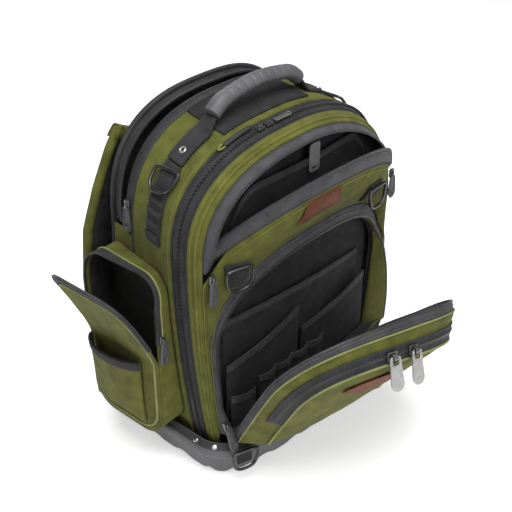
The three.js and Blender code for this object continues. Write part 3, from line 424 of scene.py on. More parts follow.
# Woven cloth: warp and weft threads over a slow drift of two tones, with the soft sheen of nylon
def woven(name, slot, light, dark, pitch, depth, roughness=0.85, sheen=0.05, ribs=(1.0, 1.0), mapped=True):
    made, tree, shader = new_finish(name, slot, roughness, sheen=sheen, gloss=0.16)
    place = tone(tree, shader, light, dark, 0.018, 6.0)
    if mapped:
        place = node(tree, "ShaderNodeUVMap", uv_map="weave")
    threads = []
    for direction, rib in zip("XY", ribs):
        thread = node(tree, "ShaderNodeTexWave", bands_direction=direction)
        thread.inputs["Scale"].default_value = 0.314 / (pitch * rib)
        thread.inputs["Distortion"].default_value = 0.6
        thread.inputs["Detail Scale"].default_value = 2.0
        plug(tree, place, "UV" if mapped else "Object", thread, "Vector")
        threads.append(thread)
    cross = node(tree, "ShaderNodeMath", operation="MULTIPLY")
    plug(tree, threads[0], "Fac", cross, 0)
    plug(tree, threads[1], "Fac", cross, 1)
    raise_surface(tree, shader, cross, "Value", depth, 0.7)
    return made


olive = woven("olive_canvas", "olive_canvas", (0.122, 0.124, 0.024), (0.072, 0.075, 0.014), 0.0016, 0.0008)
olive_dark = woven(
    "dark_olive_canvas", "dark_olive_canvas", (0.085, 0.087, 0.018), (0.055, 0.057, 0.011), 0.0016, 0.0006)
black = woven(
    "black_fabric", "black_fabric", (0.028, 0.028, 0.030), (0.015, 0.015, 0.016), 0.0013, 0.0005, 0.8, 0.05)


SLACK_EDGE = 12.0


# A band of the bag's outline between two of its cells and two depths, with slack away from its seams
def band(name, cells, depths, off, finish, thick=CLOTH, deep=0.0, rows=(112, 10), **piece):
    def place(u, v):
        cell, y = lerp(*cells, u), lerp(*depths, v)
        point = bag_point(cell, y, off)
        if deep:
            edge = min(v, 1.0 - v) * abs(depths[1] - depths[0])
            point = bag_point(cell, y, off + slack(point, deep) * clamp(edge / SLACK_EDGE))
        return point
    return sew(name, rows, place, finish, thick, **piece)


band(
    "rear_body", (0, CELLS), (ZIP_REAR_Y + GAP, LAPTOP_FRONT_Y), 0.0, olive, deep=1.6, rows=(168, 26),
    solid=True)
band("front_body", (0, CELLS), (FRONT_Y, ZIP_FRONT_Y - GAP), 0.0, olive, deep=0.5, rows=(168, 8), solid=True)
WALL_Y, WALL_THICK, WALL_SLACK = -58.5, 2.5, 0.8


# A wall that fills the bag's arch at one depth, swelling between its edges
def arch_wall(name, y, thick, inset, finish, swell=0.0, **piece):
    def place(u, v):
        edge = bag_point(CELLS * u, y, -inset)
        point = Vector((0.0, y, FOOT_Z)).lerp(edge, v)
        point.y -= (swell + slack(point, WALL_SLACK)) * (1.0 - v ** 3)
        return point
    return sew(name, (112, 14), place, finish, thick, middle=Vector((0.0, y + 50.0, 190.0)), **piece)


arch_wall("front_wall", WALL_Y, WALL_THICK, CLOTH + GAP, black, solid=True)

# Main zip: a wide black tape right over the bag between the two olive bands, with a chunky coil in its middle.
# Both bands are turned under and stitched down along it.
ZIP_MIDDLE_Y = -40.0
zip_black = woven(
    "black_zip_tape", "black_zip", (0.034, 0.034, 0.036), (0.02, 0.02, 0.021), 0.0011, 0.0004, 0.7, 0.05)
band(
    "main_zip", (0, CELLS), (ZIP_FRONT_Y, ZIP_REAR_Y), -CLOTH + TAPE, zip_black, TAPE, rows=(168, 6),
    solid=True)


# Points and normals at even steps along a line given by path(fraction) as a point and a normal
def rail(path, pitch, samples=240):
    raw = [path(i / samples) for i in range(samples + 1)]
    found, left = [], pitch / 2
    for (a, na), (b, nb) in zip(raw, raw[1:]):
        step = b - a
        length = step.length
        while left <= length and length > 1e-9:
            k = left / length
            found.append((a.lerp(b, k), step / length, na.lerp(nb, k).normalized()))
            left += pitch
        left -= length
    return found


# A row of small blocks along a rail: coil teeth or stitches, each long, wide and high in millimetres
def row_of(name, path, pitch, size, finish, slot=None, shift=0.0):
    bm = bmesh.new()
    for i, (point, run, normal) in enumerate(rail(path, pitch)):
        side = normal.cross(run).normalized()
        up = run.cross(side)
        across = up.cross(run)
        place = point + side * (shift if i % 2 else -shift)
        turn = Matrix((run * size[0], across * size[1], up * size[2])).transposed().to_4x4()
        bmesh.ops.create_cube(bm, size=1.0, matrix=Matrix.Translation(place) @ turn)
    bm.transform(Matrix.Scale(MM, 4))
    mesh = bpy.data.meshes.new(name)
    bm.to_mesh(mesh)
    bm.free()
    add_piece(name, mesh, finish, slot=slot)


def bag_line(y, off, first=0.0, last=CELLS):
    def path(k):
        cell = lerp(first, last, k)
        point = bag_point(cell, y, off)
        return point, (bag_point(cell, y, off + 5.0) - point).normalized()
    return path


coil_black = moulded("black_coil", "black_zip", (0.05, 0.05, 0.053), (0.026, 0.026, 0.028), 0.002, 0.0001, 0.38)
olive_thread = moulded(
    "olive_thread", "olive_canvas", (0.21, 0.21, 0.06), (0.14, 0.14, 0.035), 0.001, 0.0002, 0.8)
black_thread = moulded("black_thread", None, (0.05, 0.05, 0.053), (0.03, 0.03, 0.032), 0.001, 0.0002, 0.75)
SEAM_IN, RIB_IN = 4.0, 3.5
SEAM_STITCH = (2.5, 0.7, 0.5)
row_of("main_zip_coil", bag_line(ZIP_MIDDLE_Y, 0.1), 2.6, (1.5, 5.0, 1.9), coil_black, shift=0.7)
for label, y in (("front", ZIP_FRONT_Y + RIB_IN), ("rear", ZIP_REAR_Y - RIB_IN)):
    row_of(f"main_zip_rib_{label}", bag_line(y, -0.7), 3.4, (3.3, 1.4, 0.8), zip_black)
for label, y in (("front", ZIP_FRONT_Y - SEAM_IN), ("rear", ZIP_REAR_Y + SEAM_IN)):
    row_of(f"main_seam_{label}", bag_line(y, 0.1), 3.4, SEAM_STITCH, olive_thread)

# Ribbed panel on the crown: hard-wearing black cloth with raised ribs, under the handle.
# It is sewn on all round, and its ribs run from one side of the bag to the other.
TOP_PANEL_CELLS, TOP_PANEL_Y = (12.0, 16.0), (-18.0, 46.0)
RIB_PITCH, RIB_HIGH = 4.0, 0.9


def ribbed_place(u, v):
    y = lerp(*TOP_PANEL_Y, v)
    rib = 0.5 + 0.5 * math.cos(2 * math.pi * y / RIB_PITCH)
    return bag_point(lerp(*TOP_PANEL_CELLS, u), y, GAP + TAPE - RIB_HIGH * rib * (0.0 < v < 1.0))


sew("top_panel", (48, 128), ribbed_place, black, TAPE - 0.1, solid=True)

# Side webbings: ribbed black webbing sewn down each flank, with a ladder of crossbar tacks below the D-rings.
# The right one runs down to the base; the left one ends above the side pocket.
webbing = woven(
    "black_webbing", "black_webbing", (0.033, 0.033, 0.035), (0.018, 0.018, 0.019), 0.0015, 0.0007, 0.7, 0.05,
    ribs=(1.0, 1.6))
WEB_Y, WEB_SEAM_IN, WEB_TOP = (-8.0, 18.0), 2.5, GAP + WEBBING
# Label, end cells and number of grid rows of each flank's webbing
SIDE_WEBS = (("left", (5.3, 9.4), 48), ("right", (CELLS - 9.4, CELLS - 1.0), 90))
for label, cells, rows in SIDE_WEBS:
    band(f"side_webbing_{label}", cells, WEB_Y, WEB_TOP, webbing, WEBBING, rows=(rows, 6), solid=True)
    for edge, y in (("front", WEB_Y[0] + WEB_SEAM_IN), ("rear", WEB_Y[1] - WEB_SEAM_IN)):
        row_of(
            f"web_seam_{label}_{edge}", bag_line(y, WEB_TOP + 0.1, *cells), 3.2, (2.4, 0.6, 0.4),
            black_thread, "black_webbing")

# Cells of the ladder's bars up the left flank, half a bar's height in cells, its ends and its outer face
LADDER, BAR_HALF = (5.6, 6.15, 6.7, 7.25, 7.8), 0.12
BAR_Y, BAR_TOP = (WEB_Y[0] + 0.5, WEB_Y[1] - 0.5), WEB_TOP + WEBBING + 0.6
for label, sign in (("left", -1), ("right", 1)):
    for i, step in enumerate(LADDER):
        cell = step if sign < 0 else CELLS - step
        cells = (cell - BAR_HALF, cell + BAR_HALF)
        band(f"ladder_bar_{label}_{i + 1}", cells, BAR_Y, BAR_TOP, webbing, WEBBING, rows=(5, 8))

# Laptop compartment: padded black divider, olive side gussets and the two open halves of its zip.
# A round black piping runs along the rim in front, and the zip's coil along each tape's free edge.
DIVIDER_Y, PADDED, DIVIDER_IN, DIVIDER_SWELL = 43.0, 5.0, CLOTH + 1.2, -1.2
divider = arch_wall("laptop_divider", DIVIDER_Y + PADDED, PADDED, DIVIDER_IN, black, DIVIDER_SWELL, solid=True)
GUSSET_Y = (LAPTOP_FRONT_Y + GAP, BACK_Y - GAP)
for label, cells in (("left", (0.0, LEG_CELLS)), ("right", (CELLS - LEG_CELLS, CELLS))):
    band(f"laptop_gusset_{label}", cells, GUSSET_Y, 0.0, olive, deep=1.6, rows=(40, 14), solid=True)

ARCH = (LEG_CELLS + 0.05, CELLS - LEG_CELLS - 0.05)
TAPE_WIDTH = 12.0
BACK_TAPE_OFF = -CLOTH - 3.0 + TAPE
band(
    "laptop_zip_front", ARCH, (LAPTOP_FRONT_Y + GAP, LAPTOP_FRONT_Y + TAPE_WIDTH), -CLOTH + TAPE,
    zip_black, TAPE, rows=(120, 4), solid=True)
band(
    "laptop_zip_rear", ARCH, (BACK_Y - GAP - TAPE_WIDTH, BACK_Y - GAP), BACK_TAPE_OFF, zip_black, TAPE,
    rows=(120, 4), solid=True)
row_of(
    "laptop_coil_front", bag_line(LAPTOP_FRONT_Y + TAPE_WIDTH + 0.2, -CLOTH + 0.8, *ARCH), 2.4, (1.4, 2.6, 2.4),
    coil_black)
row_of(
    "laptop_coil_rear", bag_line(BACK_Y - TAPE_WIDTH - 0.6, BACK_TAPE_OFF - 0.6, *ARCH), 2.4, (1.4, 2.6, 2.4),
    coil_black)


# A round cord sewn in along an edge, through points in millimetres
def piping(name, points, radius, finish, closed=False, solid=False):
    curve = bpy.data.curves.new(name, "CURVE")
    curve.dimensions = "3D"
    curve.bevel_depth = radius * MM
    curve.bevel_resolution = 3
    curve.use_fill_caps = True
    line = curve.splines.new("POLY")
    line.points.add(len(points) - 1)
    for target, point in zip(line.points, points):
        target.co = (*(point * MM), 1.0)
    line.use_cyclic_u = closed
    add_piece(name, curve, finish, solid=solid)


def points_on(line, steps):
    return [line(i / steps) for i in range(steps + 1)]


bound_black = moulded(
    "black_binding", "black_fabric", (0.034, 0.034, 0.036), (0.02, 0.02, 0.021), 0.0012, 0.0003, 0.75)
# Name, first cell, depth, offset from the bag's outline, steps, radius and finish of the bands' round edges
BODY_PIPING = (
    ("front_welt", 0.0, FRONT_Y + 8.0, -0.3, 168, 2.3, olive),
    ("laptop_rim_piping", 0.3, LAPTOP_FRONT_Y - 0.6, -0.4, 160, 2.0, bound_black),
)
for name, first, y, off, steps, radius, finish in BODY_PIPING:
    piping(name, points_on(lambda k: bag_point(lerp(first, CELLS - first, k), y, off), steps), radius, finish)

# Back panel: a slab of foam in black cloth, plump between sewn channels.
# It is stitched all round to the gussets under a black binding, with a round piping at the rim.
BACK_PAD, BACK_START, BACK_IN = 14.0, 4.5, -0.4
STUFF_FRAMES = 20


# Blows the closed mesh up from inside as stuffed cloth, and keeps each point within cap of where it began
def plump(mesh, voxel, pressure, cap):
    trial = bpy.data.objects.new("stuffing", mesh)
    scene.collection.objects.link(trial)
    shape = trial.modifiers.new("even mesh", "REMESH")
    shape.mode = "VOXEL"
    shape.voxel_size = voxel
    even = bpy.data.meshes.new_from_object(trial.evaluated_get(bpy.context.evaluated_depsgraph_get()))
    bpy.data.objects.remove(trial)
    start = [v.co.copy() for v in even.vertices]
    skin = bpy.data.objects.new("stuffed skin", even)
    scene.collection.objects.link(skin)
    cloth = skin.modifiers.new("stuffing", "CLOTH")
    cloth.settings.quality = 5
    cloth.settings.mass = 0.3
    cloth.settings.tension_stiffness = 20.0
    cloth.settings.compression_stiffness = 20.0
    cloth.settings.bending_stiffness = 0.6
    cloth.settings.use_pressure = True
    cloth.settings.uniform_pressure_force = pressure
    cloth.settings.effector_weights.gravity = 0.0
    cloth.point_cache.frame_start = 1
    cloth.point_cache.frame_end = STUFF_FRAMES
    for step in range(1, STUFF_FRAMES + 1):
        scene.frame_set(step)
    blown = bpy.data.meshes.new_from_object(skin.evaluated_get(bpy.context.evaluated_depsgraph_get()))
    bpy.data.objects.remove(skin)
    for vert, old in zip(blown.vertices, start):
        move = vert.co - old
        if move.length > cap:
            vert.co = old + move * (cap / move.length)
    scene.frame_set(1)
    return blown


def smooth_faces(mesh):
    for face in mesh.polygons:
        face.use_smooth = True
    return mesh


# Rows of the slab: middle and edge of its inner face, then edge and middle of its outer face
BACK_SLAB = ((BACK_START, 0.0), (BACK_START, 1.0), (BACK_PAD - BACK_START, 1.0), (BACK_PAD - BACK_START, 0.0))


def back_shape(u, v):
    depth, reach = BACK_SLAB[round(v * (len(BACK_SLAB) - 1))]
    edge = bag_point(CELLS * u, BACK_Y, BACK_IN)
    point = Vector((0.0, 0.0, FOOT_Z + BACK_START)).lerp(edge, reach)
    return Vector((point.x, BACK_Y + depth, max(point.z, FOOT_Z + BACK_START)))


def closed_shell(cells, place):
    bm = bmesh.new()
    bmesh.ops.create_grid(bm, x_segments=cells[0], y_segments=cells[1], size=0.5)
    for vert in bm.verts:
        vert.co = place(vert.co.x + 0.5, vert.co.y + 0.5) * MM
    bmesh.ops.remove_doubles(bm, verts=bm.verts, dist=1e-6)
    holes = [edge for edge in bm.edges if len(edge.link_faces) == 1]
    bmesh.ops.holes_fill(bm, edges=holes, sides=0)
    bmesh.ops.recalc_face_normals(bm, faces=bm.faces)
    mesh = bpy.data.meshes.new("shell")
    bm.to_mesh(mesh)
    bm.free()
    return mesh


pad_black = woven(
    "padded_black", "black_fabric", (0.03, 0.03, 0.032), (0.017, 0.017, 0.018), 0.0018, 0.0006, 0.8, 0.05,
    mapped=False)
CHANNELS, CHANNEL_TOP, CHANNEL_Z, CHANNEL_HALF, CHANNEL_DEEP = (-66.0, 66.0), 372.0, (60.0, 440.0), 5.0, 3.4


def press_channels(mesh):
    for vert in mesh.vertices:
        x, y, z = vert.co / MM
        away = min(*(abs(x - line) for line in CHANNELS), abs(z - CHANNEL_TOP))
        if y > BACK_Y + BACK_PAD / 2 and CHANNEL_Z[0] < z < CHANNEL_Z[1]:
            vert.co.y -= CHANNEL_DEEP * math.exp(-(away / CHANNEL_HALF) ** 2) * MM
    return smooth_faces(mesh)


back_mesh = press_channels(plump(closed_shell((84, len(BACK_SLAB) - 1), back_shape), 0.0055, 4.0, 0.005))
back_panel = add_piece("back_panel", back_mesh, pad_black, solid=True)
round_off(back_panel)
BACK_ENDS = (0.2, CELLS - 0.2)
band("back_binding", BACK_ENDS, (BACK_Y - 1.0, BACK_Y + 8.0), -1.4, black, 5.0, rows=(140, 4))
back_line = points_on(lambda k: bag_point(lerp(*BACK_ENDS, k), BACK_Y + 1.6, -1.0), 160)
piping("back_rim_piping", back_line, 3.0, bound_black)

# Upper front pocket: a grey zip tape on the front band, and the olive front panel whose top has dropped forward.
# The panel is cut round the lower pocket's arch and double-stitched along its edges.
# The lower pocket's half-widths at foot, waist and shoulder and its top, then the heights of those three
POCKET = (151.0, 158.0, 161.0, 290.0)
POCKET_Z = (66.0, 130.0, 190.0)
POCKET_POWER = (2.3, 2.3)
# Depth at the edge, crown and half-width of each bowed front
PANEL_BOW, RIM_BOW = (-70.0, 18.0, 166.0), (-88.0, 16.0, 161.0)
COLLAR_LEG, COLLAR_CROWN, COLLAR_FORWARD, COLLAR_RISE, COLLAR_OUTER = 7.0, 18.0, 3.0, 40.0, 4.0
LEAN_OUT, LEAN_SLIP, LEAN_BACK, LEAN_HIGH = 28.0, 4.0, 6.0, 230.0
LEAN_TURN, CORNER_OUT, CORNER_BACK = 150.0, 1.2, 2.0
FLAP_LEFT, FLAP_RIGHT, FLAP_Y, FLAP_Z, FLAP_TAPE, FLAP_POWER = -160.0, 162.0, -65.0, 338.0, 20.0, 2.5
FLAP_SLIP, FLAP_SWELL = (-23.0, 10.0), (-33.0, 40.0)
PANEL_FOOT_Z, PANEL_SHOULDER_Z = 58.0, 297.0

zip_grey = woven(
    "grey_zip_tape", "grey_zip_tape", (0.068, 0.067, 0.073), (0.042, 0.041, 0.045), 0.0011, 0.0004, 0.7, 0.1)
coil_grey = moulded("grey_coil", "grey_zip_tape", (0.06, 0.06, 0.063), (0.04, 0.04, 0.042), 0.002, 0.0001, 0.45)


def bowed(x, bow):
    edge, crown, half = bow
    return edge - crown * (1.0 - clamp(x / half, -1.0, 1.0) ** 2)


def flap_edge(fraction, down):
    k = clamp(fraction)
    swell = 1.0 - abs(2.0 * k - 1.0) ** FLAP_POWER
    y = FLAP_Y + FLAP_SLIP[0] * k + FLAP_SWELL[0] * swell
    z = FLAP_Z + FLAP_SLIP[1] * k + FLAP_SWELL[1] * swell
    return Vector((lerp(FLAP_LEFT, FLAP_RIGHT, k), y, z - down))


def pocket_outline(cell, off=0.0):
    return arch_offset(cell, POCKET, POCKET_Z, POCKET_POWER, off)


def collar_width(cell):
    return lerp(COLLAR_LEG, COLLAR_CROWN, clamp((min(cell, CELLS - cell) - LEG_CELLS) / LEG_CELLS))


# The rim's right leg leans forwards and out, more towards its foot
def rim_lean(p):
    rise = clamp((p.y - POCKET_Z[0]) / (LEAN_HIGH - POCKET_Z[0]))
    return clamp(p.x / POCKET[0]) * (1.0 - rise ** 2)


def collar_front(x, z, lean):
    at_hinge = clamp(1.0 - (z - POCKET_Z[0]) / COLLAR_RISE)
    forward = bowed(x, RIM_BOW) + LEAN_SLIP * lean
    return lerp(bowed(x, PANEL_BOW) - COLLAR_FORWARD, forward, max(at_hinge, lean))


def collar_back(x, lean):
    return lerp(bowed(x, PANEL_BOW), bowed(x, RIM_BOW) + LEAN_SLIP + COLLAR_OUTER, lean)


# A point of the front panel: v runs from the pocket's arch out to the bag's side or up to the flap's tape
def panel_point(cell, v, out=0.0):
    inner = pocket_outline(cell, collar_width(cell))
    lean = rim_lean(inner)
    inner.x += LEAN_OUT * lean
    low = Vector((inner.x, collar_back(inner.x, lean), inner.y))
    step = min(cell, CELLS - cell)
    z = lerp(PANEL_FOOT_Z, PANEL_SHOULDER_Z, min(step, LEG_CELLS) / LEG_CELLS)
    half = bag_half(FRONT_Y, z)
    side = 1.0 - half if cell < CELLS / 2 else half + CORNER_OUT
    leg = Vector((side, FRONT_Y - 2 * GAP + CORNER_BACK * lean, z))
    arch_cell = clamp(cell, LEG_CELLS + 1, CELLS - LEG_CELLS - 1)
    top = flap_edge((arch_cell - LEG_CELLS) / (CELLS - 2 * LEG_CELLS), FLAP_TAPE + GAP)
    rise = clamp(step - LEG_CELLS)
    turn = math.radians(LEAN_TURN) * lean * lerp(1.0, 1.0 - v, rise)
    lift = lerp(1.5, 5.0, rise) * math.sin(math.pi * v) + out
    return low.lerp(leg.lerp(top, rise), v) + Vector((math.sin(turn), -math.cos(turn), 0.0)) * lift


def panel_place(u, v):
    point = panel_point(CELLS * u, v)
    fold = slack(point, 2.6, 50.0) * math.sin(math.pi * v) ** 0.5 if 0.0 < v < 1.0 else 0.0
    return panel_point(CELLS * u, v, CLOTH + fold)


front_panel = sew("front_panel", (168, 22), panel_place, olive, CLOTH, solid=True)


FORWARD = Vector((0.0, -1.0, 0.0))
# Name, place across the panel and end cells of each seam on the panel
PANEL_SEAMS = (("flap_seam", 0.93, 6.2, 21.8), ("arch_seam", 0.07, 0.4, 27.6))
PANEL_SEAM_OUT = 3.05
for name, v, first, last in PANEL_SEAMS:
    def panel_line(k):
        return panel_point(lerp(first, last, k), v, PANEL_SEAM_OUT), FORWARD
    row_of(name, panel_line, 3.6, (2.6, 0.7, 0.6), olive_thread)

UPPER_TAPE_Y, TAPE_END, TAPE_LEFT = (FRONT_Y - TAPE_WIDTH, FRONT_Y - GAP), 0.8, 0.2


# The tape on the front band narrows towards the sliders at its two ends
def body_tape_place(u, v, lift=TAPE - CLOTH):
    cell = lerp(*ARCH, u)
    near = clamp(min(cell - ARCH[0], ARCH[1] - cell) / TAPE_END) ** 0.6
    return bag_point(cell, lerp(UPPER_TAPE_Y[1], UPPER_TAPE_Y[0], v * lerp(TAPE_LEFT, 1.0, near)), lift)


sew("upper_zip_body", (140, 4), body_tape_place, zip_grey, TAPE, solid=True)
row_of("upper_coil_body", lambda k: (body_tape_place(k, 1.03, -1.6), FORWARD), 2.6, (1.5, 2.8, 2.2), coil_grey)
row_of("upper_tape_seam", bag_line(UPPER_TAPE_Y[1] - 1.6, -0.8, *ARCH), 3.4, SEAM_STITCH, black_thread)


CUT_LONG, CUT_SHARE = 20.0, 0.8


# How far the tape's top edge is rounded off near its two ends
def tape_cut(k):
    near = clamp(1.0 - min(k, 1.0 - k) * (FLAP_RIGHT - FLAP_LEFT) / CUT_LONG)
    return CUT_SHARE * FLAP_TAPE * (1.0 - math.sqrt(1.0 - near ** 2))


def flap_tape_place(u, v):
    point = flap_edge(u, lerp(FLAP_TAPE, tape_cut(u), v))
    point.y -= TAPE + 0.5 * math.sin(math.pi * v)
    return point


sew("upper_zip_flap", (120, 6), flap_tape_place, zip_grey, TAPE, solid=True)


def flap_line(down, out):
    def path(k):
        return flap_edge(k, down + tape_cut(k)) + Vector((0.0, -out, 0.0)), FORWARD
    return path


row_of("upper_coil_flap", flap_line(-0.6, 0.6), 2.6, (1.5, 2.8, 2.4), coil_grey)
row_of("upper_tape_fold", flap_line(3.6, 1.7), 2.9, (2.9, 1.6, 0.9), zip_grey)
row_of("upper_tape_stitch", flap_line(FLAP_TAPE - 2.0, 1.6), 3.4, SEAM_STITCH, black_thread)


# Leather: pores and creases over two browns, a little polished
def hide(name, slot, light, dark):
    made, tree, shader = new_finish(name, slot, 0.6, gloss=0.2)
    place = tone(tree, shader, light, dark, 0.006, 5.0)
    grain = node(tree, "ShaderNodeTexVoronoi", feature="DISTANCE_TO_EDGE")
    grain.inputs["Scale"].default_value = 900.0
    plug(tree, place, "Object", grain, "Vector")
    raise_surface(tree, shader, grain, "Distance", 0.0005, 0.5)
    return made


leather = hide("brown_leather", "brown_leather", (0.135, 0.036, 0.013), (0.075, 0.019, 0.007))
PATCH_CELLS, PATCH_ROWS, PATCH_THICK = (12.0, 15.0), (0.5, 0.967), 1.6


def patch_place(u, v):
    return panel_point(lerp(*PATCH_CELLS, u), lerp(*PATCH_ROWS, v), CLOTH + GAP + PATCH_THICK)


sew("upper_patch", (24, 14), patch_place, leather, PATCH_THICK, solid=True)


def patch_edge(k):
    turn = 4.0 * k
    u, v = ((turn, 0.0), (1.0, turn - 1.0), (3.0 - turn, 1.0), (0.0, 4.0 - turn))[min(int(turn), 3)]
    return patch_place(lerp(0.06, 0.94, u), lerp(0.08, 0.92, v)), FORWARD


brown_thread = moulded(
    "brown_thread", "brown_leather", (0.05, 0.02, 0.012), (0.03, 0.012, 0.008), 0.001, 0.0002, 0.7)
row_of("upper_patch_stitch", patch_edge, 3.0, (2.2, 0.6, 0.6), brown_thread)

# Slip pocket inside the upper pocket: soft black cloth sewn to the wall, with a tape-bound mouth.
# A bare tag of moulded grey plastic hangs at the mouth by its slot.
SLIP_X, SLIP_Z, SLIP_Y, SLIP_SWELL, SLIP_ROUND = (-118.0, 140.0), (296.0, 384.0), WALL_Y - GAP, 9.0, 40.0
SLIP_TAPE = (0.9, 1.0)


def slip_place(u, v):
    from_end = min(u, 1.0 - u) * (SLIP_X[1] - SLIP_X[0])
    high = SLIP_Z[1] - SLIP_ROUND * max(0.0, 1.0 - from_end / SLIP_ROUND) ** 2
    y = SLIP_Y - SLIP_SWELL * math.sin(math.pi * u) * v - CLOTH
    point = Vector((lerp(*SLIP_X, u), y, lerp(SLIP_Z[0], high, v)))
    point.y -= slack(point, 1.2, 40.0) * v
    return point


sew("upper_slip_pocket", (60, 16), slip_place, black, CLOTH, solid=True)


def slip_tape_place(u, v):
    return slip_place(u, lerp(*SLIP_TAPE, v)) + 0.7 * FORWARD


binding_tape = woven(
    "binding_tape", "black_fabric", (0.06, 0.06, 0.063), (0.036, 0.036, 0.038), 0.0014, 0.0006, 0.7, 0.05)
sew("slip_tape", (60, 4), slip_tape_place, binding_tape, 1.0)
piping("slip_binding", points_on(lambda k: slip_place(k, 1.0) - FORWARD, 60), 1.9, bound_black)

bare_grey = moulded("bare_tag_grey", "tag_grey", (0.2, 0.2, 0.205), (0.15, 0.15, 0.155), 0.0015, 0.0002, 0.6)
TAG_HALF, TAG_ROUND, TAG_THICK = (10.0, 19.0), 4.0, 1.5
TAG_AT = Vector((20.0, SLIP_Y - SLIP_SWELL - CLOTH - GAP, 385.0))
TAG_SLOT, TAG_SLOT_ROUND, TAG_SLOT_Z = (5.0, 1.4), 1.2, -14.0


# A flat plate in the XY plane between an outline and a hole of as many points, with softened edges.
# The inset is the width of a border left standing and the depth of the face inside it.
def plate(outline, hole, thick, soften, inset=None):
    bm = bmesh.new()
    for loop in (outline, hole):
        ring = bmesh.ops.create_circle(bm, segments=len(loop), radius=1.0)["verts"]
        for vert, (x, y) in zip(ring, loop):
            vert.co = (x, y, 0.0)
    bmesh.ops.bridge_loops(bm, edges=bm.edges[:])
    bmesh.ops.recalc_face_normals(bm, faces=bm.faces)
    if sum(face.normal.z for face in bm.faces) < 0.0:
        bmesh.ops.reverse_faces(bm, faces=bm.faces)
    raised = bmesh.ops.extrude_face_region(bm, geom=bm.faces[:])["geom"]
    top = [item for item in raised if isinstance(item, bmesh.types.BMVert)]
    bmesh.ops.translate(bm, verts=top, vec=(0.0, 0.0, thick))
    bmesh.ops.recalc_face_normals(bm, faces=bm.faces)
    sharp = [edge for edge in bm.edges if len(edge.link_faces) == 2 and edge.calc_face_angle() > 1.2]
    bmesh.ops.bevel(bm, geom=sharp, offset=soften, segments=2, profile=0.5, affect="EDGES", material=-1)
    if inset:
        faces = [face for face in bm.faces if face.normal.z > 0.9 and face.calc_area() > 0.2]
        bmesh.ops.inset_region(bm, faces=faces, thickness=inset[0], depth=0.0, use_even_offset=True)
        bmesh.ops.inset_region(bm, faces=faces, thickness=0.25, depth=-inset[1], use_even_offset=True)
    for face in bm.faces:
        face.smooth = False
    return bm


def set_down(name, bm, matrix, finish, **piece):
    bm.transform(Matrix.Scale(MM, 4) @ matrix)
    mesh = bpy.data.meshes.new(name)
    bm.to_mesh(mesh)
    bm.free()
    return add_piece(name, mesh, finish, **piece)


def axes(origin, across, up):
    across, up = Vector(across).normalized(), Vector(up).normalized()
    turn = Matrix((across, up, across.cross(up))).transposed().to_4x4()
    return Matrix.Translation(origin) @ turn


def rounded_box(half_x, half_y, radius, count=32):
    points = []
    for i in range(count):
        angle = 2 * math.pi * i / count
        c, s = math.cos(angle), math.sin(angle)
        reach = min(half_x / max(abs(c), 1e-6), half_y / max(abs(s), 1e-6))
        x, y = reach * c, reach * s
        corner = Vector((math.copysign(half_x - radius, x), math.copysign(half_y - radius, y)))
        beyond = Vector((x, y)) - corner
        if abs(x) > half_x - radius and abs(y) > half_y - radius:
            x, y = corner + beyond.normalized() * radius
        points.append((x, y))
    return points


tag_slot = [(x, y + TAG_SLOT_Z) for x, y in rounded_box(*TAG_SLOT, TAG_SLOT_ROUND)]
set_down(
    "grey_tag", plate(rounded_box(*TAG_HALF, TAG_ROUND), tag_slot, TAG_THICK, 0.4),
    axes(TAG_AT, (1, 0, 0), (0, 0, 1)), bare_grey, solid=True)

# Lower front pocket: a dark olive rim round its arch, a grey zip collar on the panel and black organiser sleeves.
# The sleeves are sewn to the wall at their sides and foot, and each mouth is bound with tape.
POCKET_BOTTOM = 6
POCKET_TURNS = CELLS + POCKET_BOTTOM
RIM_INSIDE = Vector((0.0, -80.0, -4000.0))


def pocket_loop(turn, off=0.0):
    place = turn * POCKET_TURNS
    if place <= CELLS:
        return pocket_outline(place, off)
    right = pocket_outline(CELLS, off)
    return Vector((lerp(right.x, -right.x, (place - CELLS) / POCKET_BOTTOM), POCKET_Z[0] - off))


# The rim from the wall forwards to the collar; its lining is set in from it, and begins further back
def rim_place(u, v, off=0.0, start=FRONT_Y - GAP, short=0.0):
    p = pocket_loop(u, off)
    lean = rim_lean(p)
    back = Vector((p.x - LEAN_BACK * lean, start, p.y))
    p.x += LEAN_OUT * lean
    return back.lerp(Vector((p.x, collar_front(p.x, p.y, lean) + short, p.y)), v)


def rim_lining_place(u, v):
    return rim_place(u, v, -CLOTH - 0.4, FRONT_Y + 4.0, 1.0)


sew("lower_rim", (170, 6), rim_place, olive_dark, CLOTH, middle=RIM_INSIDE, solid=True)
sew("rim_lining", (170, 6), rim_lining_place, black, 0.5, middle=RIM_INSIDE)


def collar_place(u, v):
    cell = CELLS * u
    p = pocket_outline(cell, lerp(2 * GAP, collar_width(cell) - 2 * GAP, v))
    lean = rim_lean(p)
    p.x += LEAN_OUT * lean
    y = lerp(collar_front(p.x, p.y, lean), collar_back(p.x, lean), v) - TAPE - 0.8 * math.sin(math.pi * v)
    return Vector((p.x, y, p.y))


sew("lower_zip_body", (168, 6), collar_place, zip_grey, TAPE, solid=True)


ALL_ROUND = (0.1, CELLS - 0.1)


def collar_line(v, out, first=ALL_ROUND[0], last=ALL_ROUND[1]):
    def path(k):
        return collar_place(lerp(first, last, k) / CELLS, v) + out * FORWARD, FORWARD
    return path


row_of("lower_coil_body", collar_line(0.0, 0.4), 2.6, (1.5, 2.8, 2.4), coil_grey)
row_of("lower_collar_fold", collar_line(0.5, 0.5, 6.0, 22.0), 2.9, (2.9, 1.5, 0.9), zip_grey)
row_of("lower_collar_stitch", collar_line(0.86, 0.3, 5.0, 23.0), 3.4, SEAM_STITCH, black_thread)

